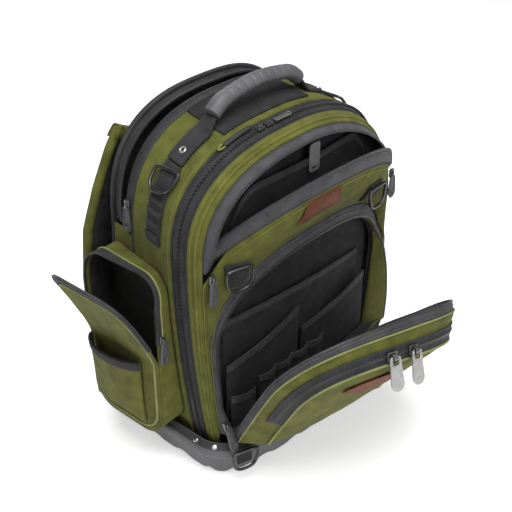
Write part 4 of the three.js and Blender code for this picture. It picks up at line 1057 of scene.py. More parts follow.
# Name, left, right, height, dip towards the right, distance from the wall and swell of each sleeve
SLEEVES = (
    ("organiser_back", -136.0, 136.0, 208.0, 10.0, 0.0, 8.0),
    ("organiser_left", -141.0, -4.0, 168.0, -10.0, 11.0, 6.0),
    ("organiser_right", 4.0, 141.0, 152.0, -12.0, 11.0, 6.0),
    ("organiser_pens", -92.0, 40.0, 118.0, 2.0, 20.0, 5.0),
    ("organiser_corner", -143.0, -98.0, 112.0, 6.0, 20.0, 6.0),
)
SLEEVE_LOW, SLEEVE_CLOTH, SLEEVE_CELL, PEN_SLOTS, BINDING_WIDTH = POCKET_Z[0] + CLOTH + GAP, 1.6, 3.0, 4, 9.0
FINE_STITCH = (2.3, 0.6, 0.5)


def sleeve(name, left, right, height, dip, back, swell):
    slots = PEN_SLOTS if name == "organiser_pens" else 1

    def place(u, v):
        slot = abs(math.sin(math.pi * u * slots)) ** 0.9
        y = WALL_Y - GAP - back - swell * slot * lerp(0.6, 1.0, v) - SLEEVE_CLOTH
        high = height - dip * (2.0 * u - 1.0)
        point = Vector((lerp(left, right, u), y, lerp(SLEEVE_LOW, high, v)))
        point.y -= slack(point, 0.9, 36.0) * v * (slot if slots == 1 else 0.0)
        return point

    def tape(u, v):
        return place(u, 1.0 - (1.0 - v) * binding) + 0.7 * FORWARD

    def hem(k):
        return place(lerp(0.02, 0.98, k), 1.0 - 0.8 * binding) + 0.9 * FORWARD, FORWARD

    binding = BINDING_WIDTH / (height - SLEEVE_LOW)
    width = int((right - left) / SLEEVE_CELL)
    sew(name, (width, 18), place, black, SLEEVE_CLOTH, solid=True)
    sew(f"{name}_tape", (width, 4), tape, binding_tape, 1.0)
    piping(f"{name}_binding", points_on(lambda k: place(k, 1.0) - 0.8 * FORWARD, width), 1.7, bound_black)
    row_of(f"{name}_stitch", hem, 3.2, FINE_STITCH, black_thread, "black_fabric")
    for i in range(1, slots):
        def tack(k):
            return place(i / slots, lerp(0.1, 0.97, k)) + 0.3 * FORWARD, FORWARD
        row_of(f"{name}_tack_{i}", tack, 3.2, FINE_STITCH, black_thread, "black_fabric")


for row in SLEEVES:
    sleeve(*row)

# Drop-down flap: a shallow olive tray hinged by its cloth foot, lined with black, with a zip pocket on its face.
# Its grey zip tape stands round the edge; a black zip band and pale piping run round the face's border.
FLAP_LEAN, FLAP_TWIST = 38.0, 9.0
FLAP_TAPER_LEFT, FLAP_TAPER_RIGHT, FLAP_TAPER_POWER = 0.3, 0.4, 1.5
FLAP_DRAW_UP, FLAP_DRAW_OUT, FLAP_DEPTH = 0.14, 0.2, 48.5
FLAP_MIDDLE_X, FLAP_MIDDLE_UP, HINGE_GAP = -4.0, 100.0, 0.5
TRAY_MIDDLE, TRAY_ABOVE = Vector((0.0, -150.0, 135.0)), Vector((0.0, -900.0, -500.0))
TRAY_EDGE, EDGE_ROWS = 12.6, 3.0


def flap_point(x, up, out):
    lean = math.radians(FLAP_LEAN + FLAP_TWIST * clamp(x / POCKET[2], -1.0, 1.0))
    share = FLAP_TAPER_LEFT if x < 0.0 else FLAP_TAPER_RIGHT
    deep = out * (1.0 - share * clamp(abs(x) / POCKET[2]) ** FLAP_TAPER_POWER)
    y = bowed(x, RIM_BOW) - HINGE_GAP - up * math.sin(lean) - deep * math.cos(lean)
    if x > 0.0:
        x *= 1.0 - FLAP_DRAW_UP * clamp(up / FLAP_MIDDLE_UP) - FLAP_DRAW_OUT * out / FLAP_DEPTH
    return Vector((x, y, POCKET_Z[0] + up * math.cos(lean) - deep * math.sin(lean)))


def flap_at(outline, size, out):
    up = lerp(FLAP_MIDDLE_UP, outline.y - POCKET_Z[0], size)
    return flap_point(lerp(FLAP_MIDDLE_X, outline.x, size), up, out)


# Size, depth and inset of each row: from the middle of the face round the border to the zip, then back inside
TRAY_FACE = (
    (0.0, 48.5, 0.0), (0.2, 48.5, 0.0), (0.4, 48.5, 0.0), (0.56, 48.0, 0.0),
    (0.68, 47.3, 0.0), (0.76, 46.0, 0.0), (0.82, 44.0, 0.0), (0.87, 41.0, 0.0),
    (0.91, 33.5, 0.0), (0.95, 25.0, 0.0), (0.985, 18.0, 0.0), (1.0, TRAY_EDGE, 0.0),
)
TRAY_LINING = (
    (1.0, TRAY_EDGE, -CLOTH), (0.985, 18.0, -CLOTH), (0.95, 24.0, -CLOTH), (0.91, 32.0, -CLOTH),
    (0.87, 38.5, -CLOTH), (0.8, 40.8, -CLOTH), (0.72, 42.6, -CLOTH), (0.56, 43.4, -1.0),
    (0.4, 43.8, 0.0), (0.2, 44.0, 0.0), (0.0, 44.0, 0.0),
)


# The tray through its rows, with slack so deep and so wide; its lining is drawn in at the right end
def tray_place(rows, deep, span, draw=0.0):
    def place(u, v):
        spot = v * (len(rows) - 1)
        size, out, off = (along([row[n] for row in rows], v) for n in range(3))
        border = pocket_loop(u, off)
        border.x -= draw * clamp(spot) * clamp(border.x / POCKET[0])
        point = flap_at(border, size, out)
        edge = clamp((len(rows) - 1 - spot if rows is TRAY_FACE else spot) / EDGE_ROWS)
        return flap_at(border, size, out + slack(point, deep, span) * edge * (size > 0.01))
    return place


sew("lower_flap", (170, 44), tray_place(TRAY_FACE, 2.2, 44.0), olive, 0.9, middle=TRAY_MIDDLE, solid=True)
sew("flap_lining", (170, 40), tray_place(TRAY_LINING, 0.6, 40.0, 5.0), black, 0.5, middle=TRAY_ABOVE)


# The cloth foot that hinges the flap, from the rim's lower edge across to the tray
def foot_place(u, v):
    turn = (CELLS + POCKET_BOTTOM * u) / POCKET_TURNS
    point = rim_place(turn, 1.0).lerp(flap_at(pocket_loop(turn), 1.0, TRAY_EDGE), v)
    return point - Vector((0.0, 0.0, 1.5 * math.sin(math.pi * v)))


sew("flap_foot", (60, 6), foot_place, black, 0.8, middle=Vector((0.0, -150.0, -500.0)))


def flap_zip_place(u, v):
    outline = pocket_outline(CELLS * u, -CLOTH + TAPE)
    return flap_at(outline, 1.0, v * TAPE_WIDTH)


sew("lower_zip_flap", (168, 5), flap_zip_place, zip_grey, TAPE, middle=TRAY_MIDDLE, solid=True)


def around_flap(size, out, off):
    def path(k):
        cell = lerp(*ALL_ROUND, k)
        point = flap_at(pocket_outline(cell, off), size, out)
        return point, (flap_at(pocket_outline(cell, off + 5.0), size, out) - point).normalized()
    return path


row_of("lower_coil_flap", around_flap(1.0, -0.4, -1.4), 2.6, (1.5, 2.6, 2.4), coil_grey)
row_of("lower_tape_fold", around_flap(1.0, 5.0, -0.6), 2.9, (2.9, 1.4, 0.8), zip_grey)
row_of("lower_tape_stitch", around_flap(1.0, 10.4, -0.7), 3.4, SEAM_STITCH, black_thread)

BAND_OUTER, BAND_INNER, BAND_FIRST = (0.95, 25.0), (0.87, 41.0), 3.0
BAND_SEAT, BAND_SLANT = 0.6, 0.7


def flap_band(cell, v, lift):
    outline = pocket_outline(cell, lift * BAND_SLANT)
    out = lerp(BAND_OUTER[1], BAND_INNER[1], v) + lift * BAND_SLANT
    return flap_at(outline, lerp(BAND_OUTER[0], BAND_INNER[0], v), out)


def band_place(u, v):
    return flap_band(lerp(BAND_FIRST, CELLS - BAND_FIRST, u), v, BAND_SEAT + TAPE)


sew("flap_zip", (150, 8), band_place, zip_black, TAPE, middle=TRAY_MIDDLE, solid=True)


def band_line(v, lift):
    def path(k):
        cell = lerp(BAND_FIRST + 0.1, CELLS - BAND_FIRST - 0.1, k)
        point = flap_band(cell, v, lift)
        return point, (flap_band(cell, v, lift + 5.0) - point).normalized()
    return path


row_of("flap_zip_coil", band_line(0.5, 2.3), 2.4, (1.4, 4.0, 1.4), coil_black, shift=0.5)
for label, v in (("low", 0.93), ("high", 0.07)):
    row_of(f"flap_zip_stitch_{label}", band_line(v, 2.0), 3.4, (2.5, 0.6, 0.4), black_thread, "black_zip")
pale_olive = moulded(
    "pale_olive_piping", "olive_canvas", (0.21, 0.22, 0.08), (0.15, 0.158, 0.05), 0.0012, 0.0003, 0.75)
border = points_on(lambda k: flap_band(lerp(0.4, CELLS - 0.4, k), 1.06, 1.6), 168)
piping("flap_face_piping", border, 1.5, pale_olive)
crest = points_on(lambda k: flap_at(pocket_outline(lerp(*ALL_ROUND, k), 0.2), 1.0, 13.0), 168)
piping("flap_crest_piping", crest, 1.2, pale_olive)

FLAP_PATCH_CELLS, FLAP_PATCH_SIZE, FLAP_PATCH_OUT = (8.0, 12.0), (0.7, 0.45), 0.7 + PATCH_THICK
FACE_SIZE, FACE_OUT = (0.72, 0.4), (47.0, 48.5)


def flap_patch_place(u, v):
    size = lerp(*FLAP_PATCH_SIZE, v)
    out = lerp(*FACE_OUT, (FACE_SIZE[0] - size) / (FACE_SIZE[0] - FACE_SIZE[1]))
    return flap_at(pocket_outline(lerp(*FLAP_PATCH_CELLS, u)), size, out + FLAP_PATCH_OUT)


sew("flap_patch", (30, 12), flap_patch_place, leather, PATCH_THICK, middle=TRAY_MIDDLE, solid=True)

# Side pocket: an olive gusset off the bag's left flank and a padded olive panel that has dropped outwards.
# A black zip tape edges both, pale piping runs inside the panel's tape, and a slip pouch with elastic sits on it.
SIDE_BOX, SIDE_RADII, SIDE_FACE = (-20.0, 104.0, 55.0, 290.0), (34.0, 28.0), -204.0
SIDE_LEAN_FROM, SIDE_LEAN_OUT, SIDE_LEAN_DROP, SIDE_LEAN_POWER = 172.0, 54.0, 8.0, 1.2
SIDE_ARC, SIDE_EDGES = 10, (12, 26, 12, 26)
SIDE_TURNS = 4 * (SIDE_ARC + 1) + sum(SIDE_EDGES)
SIDE_SEAT, TUCK_OVER, TUCK_BY, SIDE_PAD = 0.8, 60.0, 8.0, 4.0
REAR_FROM, REAR_OVER, REAR_IN, LINING_IN = 92.0, 8.0, 6.0, CLOTH + 2.0
SIDE_MIDDLE = Vector((0.0, (SIDE_BOX[0] + SIDE_BOX[1]) / 2, (SIDE_BOX[2] + SIDE_BOX[3]) / 2))


side_edge = rounded_loop(SIDE_BOX, SIDE_RADII, SIDE_ARC, SIDE_EDGES)


def side_at(turn):
    place = (turn % 1.0) * SIDE_TURNS
    i = int(place) % SIDE_TURNS
    a, b = side_edge[i], side_edge[(i + 1) % SIDE_TURNS]
    return Vector((0.0, lerp(a[0], b[0], place - i), lerp(a[1], b[1], place - i)))


def gusset_place(u, v):
    p = side_at(u)
    on_body = -bag_half(p.y, min(p.z, SHOULDER_Z)) - SIDE_SEAT + REAR_IN * clamp((p.y - REAR_FROM) / REAR_OVER)
    face = SIDE_FACE + TUCK_BY * max(0.0, 1.0 + (p.z - SHOULDER_Z) / TUCK_OVER)
    p.x = lerp(on_body, face, v)
    return p + (p - SIDE_MIDDLE).normalized() * (slack(p, 1.4, 46.0) * math.sin(math.pi * v))


# The way out from the pocket's middle to a point of its border
def outwards(p):
    return Vector((0.0, p.y - SIDE_MIDDLE.y, p.z - SIDE_MIDDLE.z)).normalized()


gusset_middle = Vector((-190.0, SIDE_MIDDLE.y, SIDE_MIDDLE.z))
sew("side_gusset", (SIDE_TURNS, 8), gusset_place, olive, CLOTH, middle=gusset_middle, solid=True)


# Black lining of the pocket, on the gusset's inside and over the bag's flank
def gusset_lining_place(u, v):
    point = gusset_place(u, lerp(0.02, 0.94, v))
    return point - outwards(point) * LINING_IN


def flank_lining_place(u, v):
    p = SIDE_MIDDLE.lerp(side_at(u), 0.97 * v)
    p.x = -bag_half(min(p.y, BACK_Y), min(p.z, SHOULDER_Z)) - 1.6
    return p


sew("side_gusset_lining", (SIDE_TURNS, 6), gusset_lining_place, black, 0.4, middle=gusset_middle)
sew("side_flank_lining", (SIDE_TURNS, 10), flank_lining_place, black, closed=True)


def side_panel_point(p, lift):
    rise = max(0.0, (p.z - SIDE_LEAN_FROM) / (SIDE_BOX[3] - SIDE_LEAN_FROM))
    x = SIDE_FACE - GAP - lift - SIDE_LEAN_OUT * rise ** SIDE_LEAN_POWER
    return Vector((x, p.y, p.z - SIDE_LEAN_DROP * rise))


# Share of the way from the panel's middle to its edge, and how far the padding lifts each face there
SIDE_PANEL_ROWS = (
    (0.0, CLOTH + SIDE_PAD), (0.3, CLOTH + SIDE_PAD), (0.6, CLOTH + SIDE_PAD), (0.75, CLOTH + 3.2),
    (0.88, CLOTH + 1.7),
    (0.96, CLOTH + 0.5), (1.0, CLOTH - 0.3), (1.0, 0.4), (0.96, 0.5), (0.8, 2.2), (0.6, SIDE_PAD),
    (0.3, SIDE_PAD),
    (0.0, SIDE_PAD),
)


def side_panel_place(u, v):
    size = along([row[0] for row in SIDE_PANEL_ROWS], v)
    lift = along([row[1] for row in SIDE_PANEL_ROWS], v)
    p = SIDE_MIDDLE.lerp(side_at(u), size)
    wave = slack(p, 1.0, 60.0) * (1.0 - size)
    return side_panel_point(p, lift + wave)


side_panel = sew("side_panel", (SIDE_TURNS, 24), side_panel_place, olive, closed=True, smooth=True, solid=True)


TO_LEFT = Vector((-1.0, 0.0, 0.0))


# The upper border of the loop, from one side's turn over the top to the other side's
def side_border(size, lift, first, last):
    def path(k):
        p = SIDE_MIDDLE.lerp(side_at(lerp(first, last, k)), size)
        return side_panel_point(p, lift), TO_LEFT
    return path


# First and last turn of the zip and of the gusset's piping, and the shares that the two tapes cover
PANEL_ZIP, PIPED = (0.425, 0.85), (0.425, 0.88)
SIDE_TAPE, GUSSET_TAPE = (0.93, 1.02), (0.72, 1.03)


def side_tape_place(u, v):
    p = SIDE_MIDDLE.lerp(side_at(lerp(*PANEL_ZIP, u)), lerp(*SIDE_TAPE, v))
    return side_panel_point(p, CLOTH + 1.3 + 0.5 * math.sin(math.pi * v))


def gusset_tape_place(u, v):
    inner = gusset_place(lerp(*PANEL_ZIP, u), lerp(*GUSSET_TAPE, v))
    return inner + outwards(inner) * 1.3


sew("side_panel_tape", (110, 5), side_tape_place, zip_black, TAPE)
sew("side_gusset_tape", (110, 5), gusset_tape_place, zip_black, TAPE, middle=gusset_middle)
row_of("side_panel_coil", side_border(1.03, 1.4, *PANEL_ZIP), 2.6, (1.5, 2.6, 2.2), coil_black)
row_of(
    "side_tape_stitch", side_border(0.94, CLOTH + 2.0, *PANEL_ZIP), 3.4, (2.5, 0.6, 0.5), black_thread,
    "black_zip")


def gusset_edge(k):
    point = gusset_place(lerp(*PANEL_ZIP, k), 1.06)
    return point, outwards(point)


def gusset_piping(k):
    point = gusset_place(lerp(*PIPED, k), 0.7)
    return point + outwards(point) * 1.2


piping("side_gusset_piping", points_on(gusset_piping, 120), 1.3, pale_olive)
row_of("side_gusset_coil", gusset_edge, 2.6, (1.5, 2.4, 2.2), coil_black)
panel_piping = [side_border(0.915, CLOTH + 1.4, 0.0, 1.0)(i / 150)[0] for i in range(150)]
piping("side_panel_piping", panel_piping, 1.4, pale_olive, closed=True)

POUCH_Y, POUCH_Z, POUCH_MOUTH, POUCH_POWER, POUCH_SEAT = (4.0, 96.0), (74.0, 172.0), 20.0, 0.6, 0.9
scene.frame_set(1)
bpy.context.view_layer.update()


# Where a straight look along a direction meets a piece, in millimetres
def face_of(piece, origin, direction):
    shown = piece.evaluated_get(bpy.context.evaluated_depsgraph_get())
    return shown.ray_cast(Vector(origin) * MM, Vector(direction))[1] / MM


def pouch_place(u, v):
    y, z = lerp(*POUCH_Y, u), lerp(*POUCH_Z, v)
    bulge = POUCH_MOUTH * v * math.sin(math.pi * clamp(u)) ** POUCH_POWER
    x = face_of(side_panel, (-400.0, y, z), (1.0, 0.0, 0.0)).x
    point = Vector((x - POUCH_SEAT - bulge - CLOTH, y, z))
    return point + Vector((-slack(point, 1.6, 34.0) * v * math.sin(math.pi * clamp(u)), 0.0, 0.0))


pouch_middle = Vector((-190.0, SIDE_MIDDLE.y, 120.0))
sew("side_pouch", (40, 24), pouch_place, olive, CLOTH, middle=pouch_middle, solid=True)
ELASTIC_HIGH, RUFFLE, RUFFLES = 13.0, 0.35, 26


def elastic_place(u, v):
    ruffle = RUFFLE * math.sin(2 * math.pi * u * RUFFLES)
    point = pouch_place(u, 1.0 - (1.0 - v) * ELASTIC_HIGH / (POUCH_Z[1] - POUCH_Z[0]))
    return point + Vector((-1.5 - ruffle, 0.0, 0.4))


sew("pouch_elastic", (104, 5), elastic_place, webbing, 3.2, middle=pouch_middle)


def pouch_edge(k):
    turn = 3.0 * k
    u, v = ((0.03, 1.0 - turn), (turn - 1.0, 0.04), (0.97, turn - 2.0))[min(int(turn), 2)]
    return pouch_place(clamp(u, 0.03, 0.97), clamp(v, 0.04, 0.86)) + 0.2 * TO_LEFT, TO_LEFT


row_of("pouch_stitch", pouch_edge, 3.4, SEAM_STITCH, olive_thread)

# Handle: a grip of grey rubber with moulded ribs round two webbing ends.
# The ends run down the crown, are stitched to the bag along both edges and have an eyelet each.
HANDLE_Y, HANDLE_HALF, HANDLE_NARROW, HANDLE_END = 5.0, 13.0, 8.0, (78.0, 446.0)
FEET_CELLS = (9.5, 10.0, 11.0, 11.5)
GRIP_POINTS = ((-77.5, 450.0), (-55.0, 463.0), (0.0, 470.0), (55.0, 463.0), (77.5, 450.0))
GRIP_WIDE, GRIP_HIGH, GRIP_PITCH, GRIP_RIBBED = 11.0, 9.4, 12.5, 50.0
GROOVE_DEEP, GROOVE_POWER, GRIP_SIZE, CUFF_SIZE, CUFF_FROM = 0.2, 8, 0.98, 1.04, GRIP_RIBBED + 4.0
GRIP_END, END_SIZE, END_ROUND = 0.02, 0.86, 14.0
grip_rubber = moulded(
    "grip_rubber", "rubber_grip", (0.095, 0.095, 0.1), (0.07, 0.07, 0.074), 0.0012, 0.0003, 0.5)


# A smooth line through points, as a thin bent rod would lie
def bent(points, k):
    place = clamp(k) * (len(points) - 1)
    i = min(int(place), len(points) - 2)
    t = place - i
    p = [Vector(points[clamp(j, 0, len(points) - 1)]) for j in (i - 1, i, i + 1, i + 2)]
    if i == 0:
        p[0] = 2 * p[1] - p[2]
    if i == len(points) - 2:
        p[3] = 2 * p[2] - p[1]
    a, b = 2 * p[0] - 5 * p[1] + 4 * p[2] - p[3], 3 * (p[1] - p[2]) + p[3] - p[0]
    return (2 * p[1] + (p[2] - p[0]) * t + a * t * t + b * t * t * t) / 2


def grip_place(u, v):
    k = clamp((v - GRIP_END) / (1.0 - 2 * GRIP_END))
    x, z = bent(GRIP_POINTS, k)
    ahead = bent(GRIP_POINTS, min(k + 0.01, 1.0)) - bent(GRIP_POINTS, max(k - 0.01, 0.0))
    normal = Vector((-ahead.y, ahead.x)).normalized()
    size = GRIP_SIZE
    if abs(x) < GRIP_RIBBED:
        size -= GROOVE_DEEP * max(0.0, math.cos(2 * math.pi * x / GRIP_PITCH)) ** GROOVE_POWER
    size *= CUFF_SIZE if abs(x) > CUFF_FROM else 1.0
    size *= 0.0 if v in (0.0, 1.0) else clamp(END_SIZE + END_ROUND * min(k, 1.0 - k), END_SIZE, 1.0)
    angle = 2 * math.pi * u
    high = GRIP_HIGH * size * math.sin(angle)
    return Vector((x + normal.x * high, HANDLE_Y + GRIP_WIDE * size * math.cos(angle), z + normal.y * high))


sew("handle_grip", (28, 120), grip_place, grip_rubber, closed=True, smooth=True, solid=True)


HANDLE_TOP, HANDLE_SEAM, HANDLE_SEWN, EYELET, EYELET_BORE = GAP + 2 * WEBBING, 0.82, (0.02, 0.72), 5.0, 2.2


def handle_strap(sign, label):
    # From the foot up the crown, then off it in a straight line to the grip's end
    def spine(k, side, lift):
        last = len(FEET_CELLS) - 1
        spot = clamp(k) * (last + 1)
        cell = along(FEET_CELLS, spot / last)
        on_bag = bag_point(cell if sign < 0 else CELLS - cell, HANDLE_Y + HANDLE_HALF * side, lift)
        end = Vector((sign * HANDLE_END[0], HANDLE_Y + HANDLE_NARROW * side, HANDLE_END[1] + lift))
        return on_bag.lerp(end, max(0.0, spot - last))

    def place(u, v):
        return spine(u, 2.0 * v - 1.0, HANDLE_TOP)

    sew(f"handle_strap_{label}", (36, 8), place, webbing, 2 * WEBBING, solid=True)
    for end, side in (("front", -HANDLE_SEAM), ("rear", HANDLE_SEAM)):
        def edge(k):
            return spine(lerp(*HANDLE_SEWN, k), side, HANDLE_TOP + 0.2), Vector((sign * 0.5, 0.0, 0.85))
        row_of(f"handle_stitch_{label}_{end}", edge, 3.0, (2.3, 0.7, 0.5), black_thread, "black_webbing")
    at = spine(0.3, 0.0, HANDLE_TOP)
    rivet(f"handle_eyelet_{label}", at, Vector((sign * 0.55, 0.0, 0.83)), EYELET, EYELET_BORE)


for label, sign in (("left", -1.0), ("right", 1.0)):
    handle_strap(sign, label)

# D-rings: bent steel wire with a black coat, two at the front, two on the flanks and one low at the base.
# Each is held by webbing: a short tab sewn to the bag with a border and a cross, or the flank's webbing.
RING_HALF, RING_BAR, RING_BOW, RING_WIRE = 18.0, 9.0, 20.0, 2.0
RING_SIDE, RING_CORNER, RING_STEPS = 0.7, 0.25, 72
black_wire = metal("black_wire", "dark_metal", (0.085, 0.085, 0.088), (0.05, 0.05, 0.052), 0.34, 0.0008)


def d_ring(name, origin, across, up):
    points = []
    for i in range(RING_STEPS):
        angle = 2 * math.pi * i / RING_STEPS
        c, s = math.cos(angle), math.sin(angle)
        high = RING_BAR * s ** RING_CORNER if s > 0 else RING_BOW * s
        x = RING_HALF * math.copysign(abs(c) ** RING_SIDE, c)
        points.append(origin + across * x + up * high)
    piping(name, points, RING_WIRE, black_wire, closed=True, solid=True)


UP = Vector((0.0, 0.0, 1.0))
# Label, place across, height and turn of each front ring
FRONT_RINGS = (("left", -135.0, 299.0, -0.28), ("right", 110.0, 312.0, 0.05))
TAB_HALF, TAB_LOW, TAB_HIGH, TAB_SEAT, TAB_LIFT = 14.0, -14.0, 14.0, 1.4, 1.9


def panel_face(x, z):
    return face_of(front_panel, (x, -300.0, z), (0.0, 1.0, 0.0)).y


# A square of webbing with a sewn border and cross, laid on by place(across, up)
def stitched_tab(name, place):
    sew(name, (10, 12), place, webbing, WEBBING, solid=True)
    low, high = 0.1, 0.9
    corners = [Vector(corner) for corner in (
        (low, low), (high, low), (high, high), (low, high), (low, low), (high, high), (high, low), (low, high))]

    def cross(k):
        u, v = along(corners, k)
        point = place(u, v)
        normal = (place(u + 0.02, v) - point).cross(place(u, v + 0.02) - point).normalized()
        return point + normal * 0.15, normal
    row_of(f"{name}_stitch", cross, 2.6, (2.0, 0.6, 0.5), black_thread, "black_webbing")


for label, x, z, turn in FRONT_RINGS:
    def tab_place(u, v, x=x, z=z):
        px, pz = x + lerp(-TAB_HALF, TAB_HALF, u), z + lerp(TAB_LOW, TAB_HIGH, v)
        return Vector((px, panel_face(px, pz) - TAB_SEAT - WEBBING, pz))
    stitched_tab(f"front_tab_{label}", tab_place)
    seat = min(panel_face(x, z + RING_BAR), panel_face(x, z - RING_BOW), panel_face(x, z))
    origin = Vector((x, seat - TAB_SEAT - RING_WIRE - TAB_LIFT, z))
    d_ring(f"front_ring_{label}", origin, Vector((1.0, turn, 0.0)).normalized(), UP)

RING_CELL, RING_STEP, RING_LIFT = 8.6, 0.3, 4 * GAP + WEBBING + RING_WIRE
for label, sign in (("left", -1.0), ("right", 1.0)):
    cell = RING_CELL if sign < 0 else CELLS - RING_CELL
    seat = bag_point(cell, HANDLE_Y, RING_LIFT)
    above = bag_point(cell - sign * RING_STEP, HANDLE_Y, RING_LIFT)
    d_ring(f"side_ring_{label}", seat, Vector((0.0, sign, 0.0)), (above - seat).normalized())

LOW_RING, LOW_ACROSS = Vector((-147.0, -106.9, 40.0)), Vector((1.0, -0.35, 0.0)).normalized()
LOW_TAB_HALF, LOW_TAB_Z = 10.0, (-12.0, 12.0)
d_ring("low_ring", LOW_RING, LOW_ACROSS, UP)
low_out = LOW_ACROSS.cross(UP)


def low_tab_place(u, v):
    flat = LOW_RING + LOW_ACROSS * lerp(-LOW_TAB_HALF, LOW_TAB_HALF, u) + UP * lerp(*LOW_TAB_Z, v)
    return flat - low_out * (RING_WIRE + GAP)


stitched_tab("low_tab", low_tab_place)

# Moulded zip pulls: tapered tongues of grey plastic with a sunken face and a hole near the foot.
# Each hangs on a small gunmetal slider at the end of its zip.
PULL_TOP, PULL_FOOT, PULL_LENGTH, PULL_HOLE, PULL_THICK = 3.5, 6.0, 30.0, 2.8, 3.5
PULL_SOFT, PULL_INSET = 0.7, (1.1, 0.5)
pull_plastic = moulded(
    "grey_pull", "grey_plastic", (0.075, 0.075, 0.079), (0.052, 0.052, 0.055), 0.001, 0.0002, 0.55)
# Name, place of the top, and directions across and up
PULLS = (
    ("upper_pull_left", (-168.0, -77.0, 300.0), (1, 0, 0), (0, 0, 1)),
    ("upper_pull_right", (154.0, -96.0, 316.0), (1, 0, 0), (0, 0, 1)),
    ("side_pull", (-197.0, -20.4, 204.0), (1, 0, 0), (0, 0, 1)),
    ("lower_pull", (-157.4, -85.6, 80.0), (1, 0, 0), (0, 0.36, 0.93)),
    ("laptop_pull", (-169.7, 56.0, 348.0), (0, -1, 0), (0, 0, 1)),
)


TONGUE_POINTS = 36
# Middle and size of a small slider's body and of the bridge on it
SLIDER_BLOCKS = (((0.0, 4.0, 0.0), (8.0, 11.0, 3.4)), ((0.0, 3.6, 2.6), (3.0, 7.0, 2.6)))


# A tongue's outline: round at the foot, narrowing to its straight top
def tongue(top, foot, length, high):
    points = []
    for i in range(TONGUE_POINTS):
        k = i / TONGUE_POINTS
        if k < 0.5:
            angle = -math.pi * 2.0 * k
            points.append((foot * math.cos(angle), foot - length + foot * math.sin(angle)))
        elif k < 0.7:
            points.append((-lerp(foot, top, (k - 0.5) / 0.2), lerp(foot - length, high, (k - 0.5) / 0.2)))
        elif k < 0.8:
            points.append((lerp(-top, top, (k - 0.7) / 0.1), high))
        else:
            points.append((lerp(top, foot, (k - 0.8) / 0.2), lerp(high, foot - length, (k - 0.8) / 0.2)))
    return points


def round_hole(radius, y):
    turns = [-2 * math.pi * i / TONGUE_POINTS for i in range(TONGUE_POINTS)]
    return [(radius * math.cos(turn), y + radius * math.sin(turn)) for turn in turns]


def zip_slider(name, place):
    bm = bmesh.new()
    for at, size in SLIDER_BLOCKS:
        bmesh.ops.create_cube(bm, size=1.0, matrix=Matrix.Translation(at) @ Matrix.Diagonal((*size, 1.0)))
    bmesh.ops.bevel(bm, geom=bm.edges[:], offset=0.7, segments=2, profile=0.5, affect="EDGES", material=-1)
    set_down(name, bm, place, gunmetal)


for name, at, across, up in PULLS:
    hole = round_hole(PULL_HOLE, PULL_FOOT - PULL_LENGTH)
    bm = plate(tongue(PULL_TOP, PULL_FOOT, PULL_LENGTH, 0.0), hole, PULL_THICK, PULL_SOFT, PULL_INSET)
    set_down(name, bm, axes(Vector(at), across, up), pull_plastic, solid=True)
    zip_slider(f"{name}_slider", axes(Vector(at), across, up))

# Main zip's pulls on the crown: a cord in a black cover with its olive loop, and a short steel tab.
# Both are fastened to the zip's two sliders and lie along the tape.
CORD_CELLS, CORD_Y, CORD_LIFT = (11.5, 13.0), -32.0, 2.4
COVER_HALF, COVER_HIGH, COVER_ROUND = 3.0, 2.25, 14.0
LOOP_LONG, LOOP_HALF, LOOP_LIFT, LOOP_WIRE = 0.3, 2.6, 2.6, 1.1


def cover_place(u, v):
    cell = lerp(*CORD_CELLS, v)
    end = clamp(min(v, 1.0 - v) * COVER_ROUND) ** 0.5
    angle = 2 * math.pi * u
    y = CORD_Y + COVER_HALF * end * math.cos(angle)
    return bag_point(cell, y, CORD_LIFT + COVER_HIGH * end * math.sin(angle))


sew("main_pull_cord", (16, 40), cover_place, bound_black, closed=True, solid=True)


def loop_line(k):
    cell = CORD_CELLS[0] - LOOP_LONG * math.sin(math.pi * k)
    return bag_point(cell, CORD_Y + LOOP_HALF * math.cos(math.pi * k), LOOP_LIFT)


piping("main_pull_loop", points_on(loop_line, 24), LOOP_WIRE, olive_thread)
TAB_CELLS, TAB_Y, TAB_RISE, TAB_SHARE = (13.7, 14.5), -41.0, 3.0, 0.72
TAB_LIFT_OFF, TAB_THICK, TAB_TOP, TAB_FOOT, TAB_HOLE = 1.9, 2.1, 3.2, 4.0, 1.7
MAIN_SLIDERS, MAIN_SLIDER_LIFT = (13.25, 13.6), 1.2


def crown_frame(cell, y, lift):
    seat = bag_point(cell, y, lift)
    run = (bag_point(cell + 0.2, y, lift) - bag_point(cell - 0.2, y, lift)).normalized()
    return axes(seat, Vector((0.0, 1.0, 0.0)), -run)


tab_ends = [bag_point(cell, TAB_Y, TAB_RISE) for cell in TAB_CELLS]
tab_long = (tab_ends[1] - tab_ends[0]).length * TAB_SHARE
tab_bm = plate(
    tongue(TAB_TOP, TAB_FOOT, tab_long, 0.0), round_hole(TAB_HOLE, TAB_FOOT - tab_long), TAB_THICK, 0.4)
set_down("main_pull_tab", tab_bm, crown_frame(TAB_CELLS[0], TAB_Y, TAB_LIFT_OFF), satin_steel, solid=True)
for i, cell in enumerate(MAIN_SLIDERS):
    zip_slider(f"main_slider_{i + 1}", crown_frame(cell, ZIP_MIDDLE_Y, MAIN_SLIDER_LIFT))

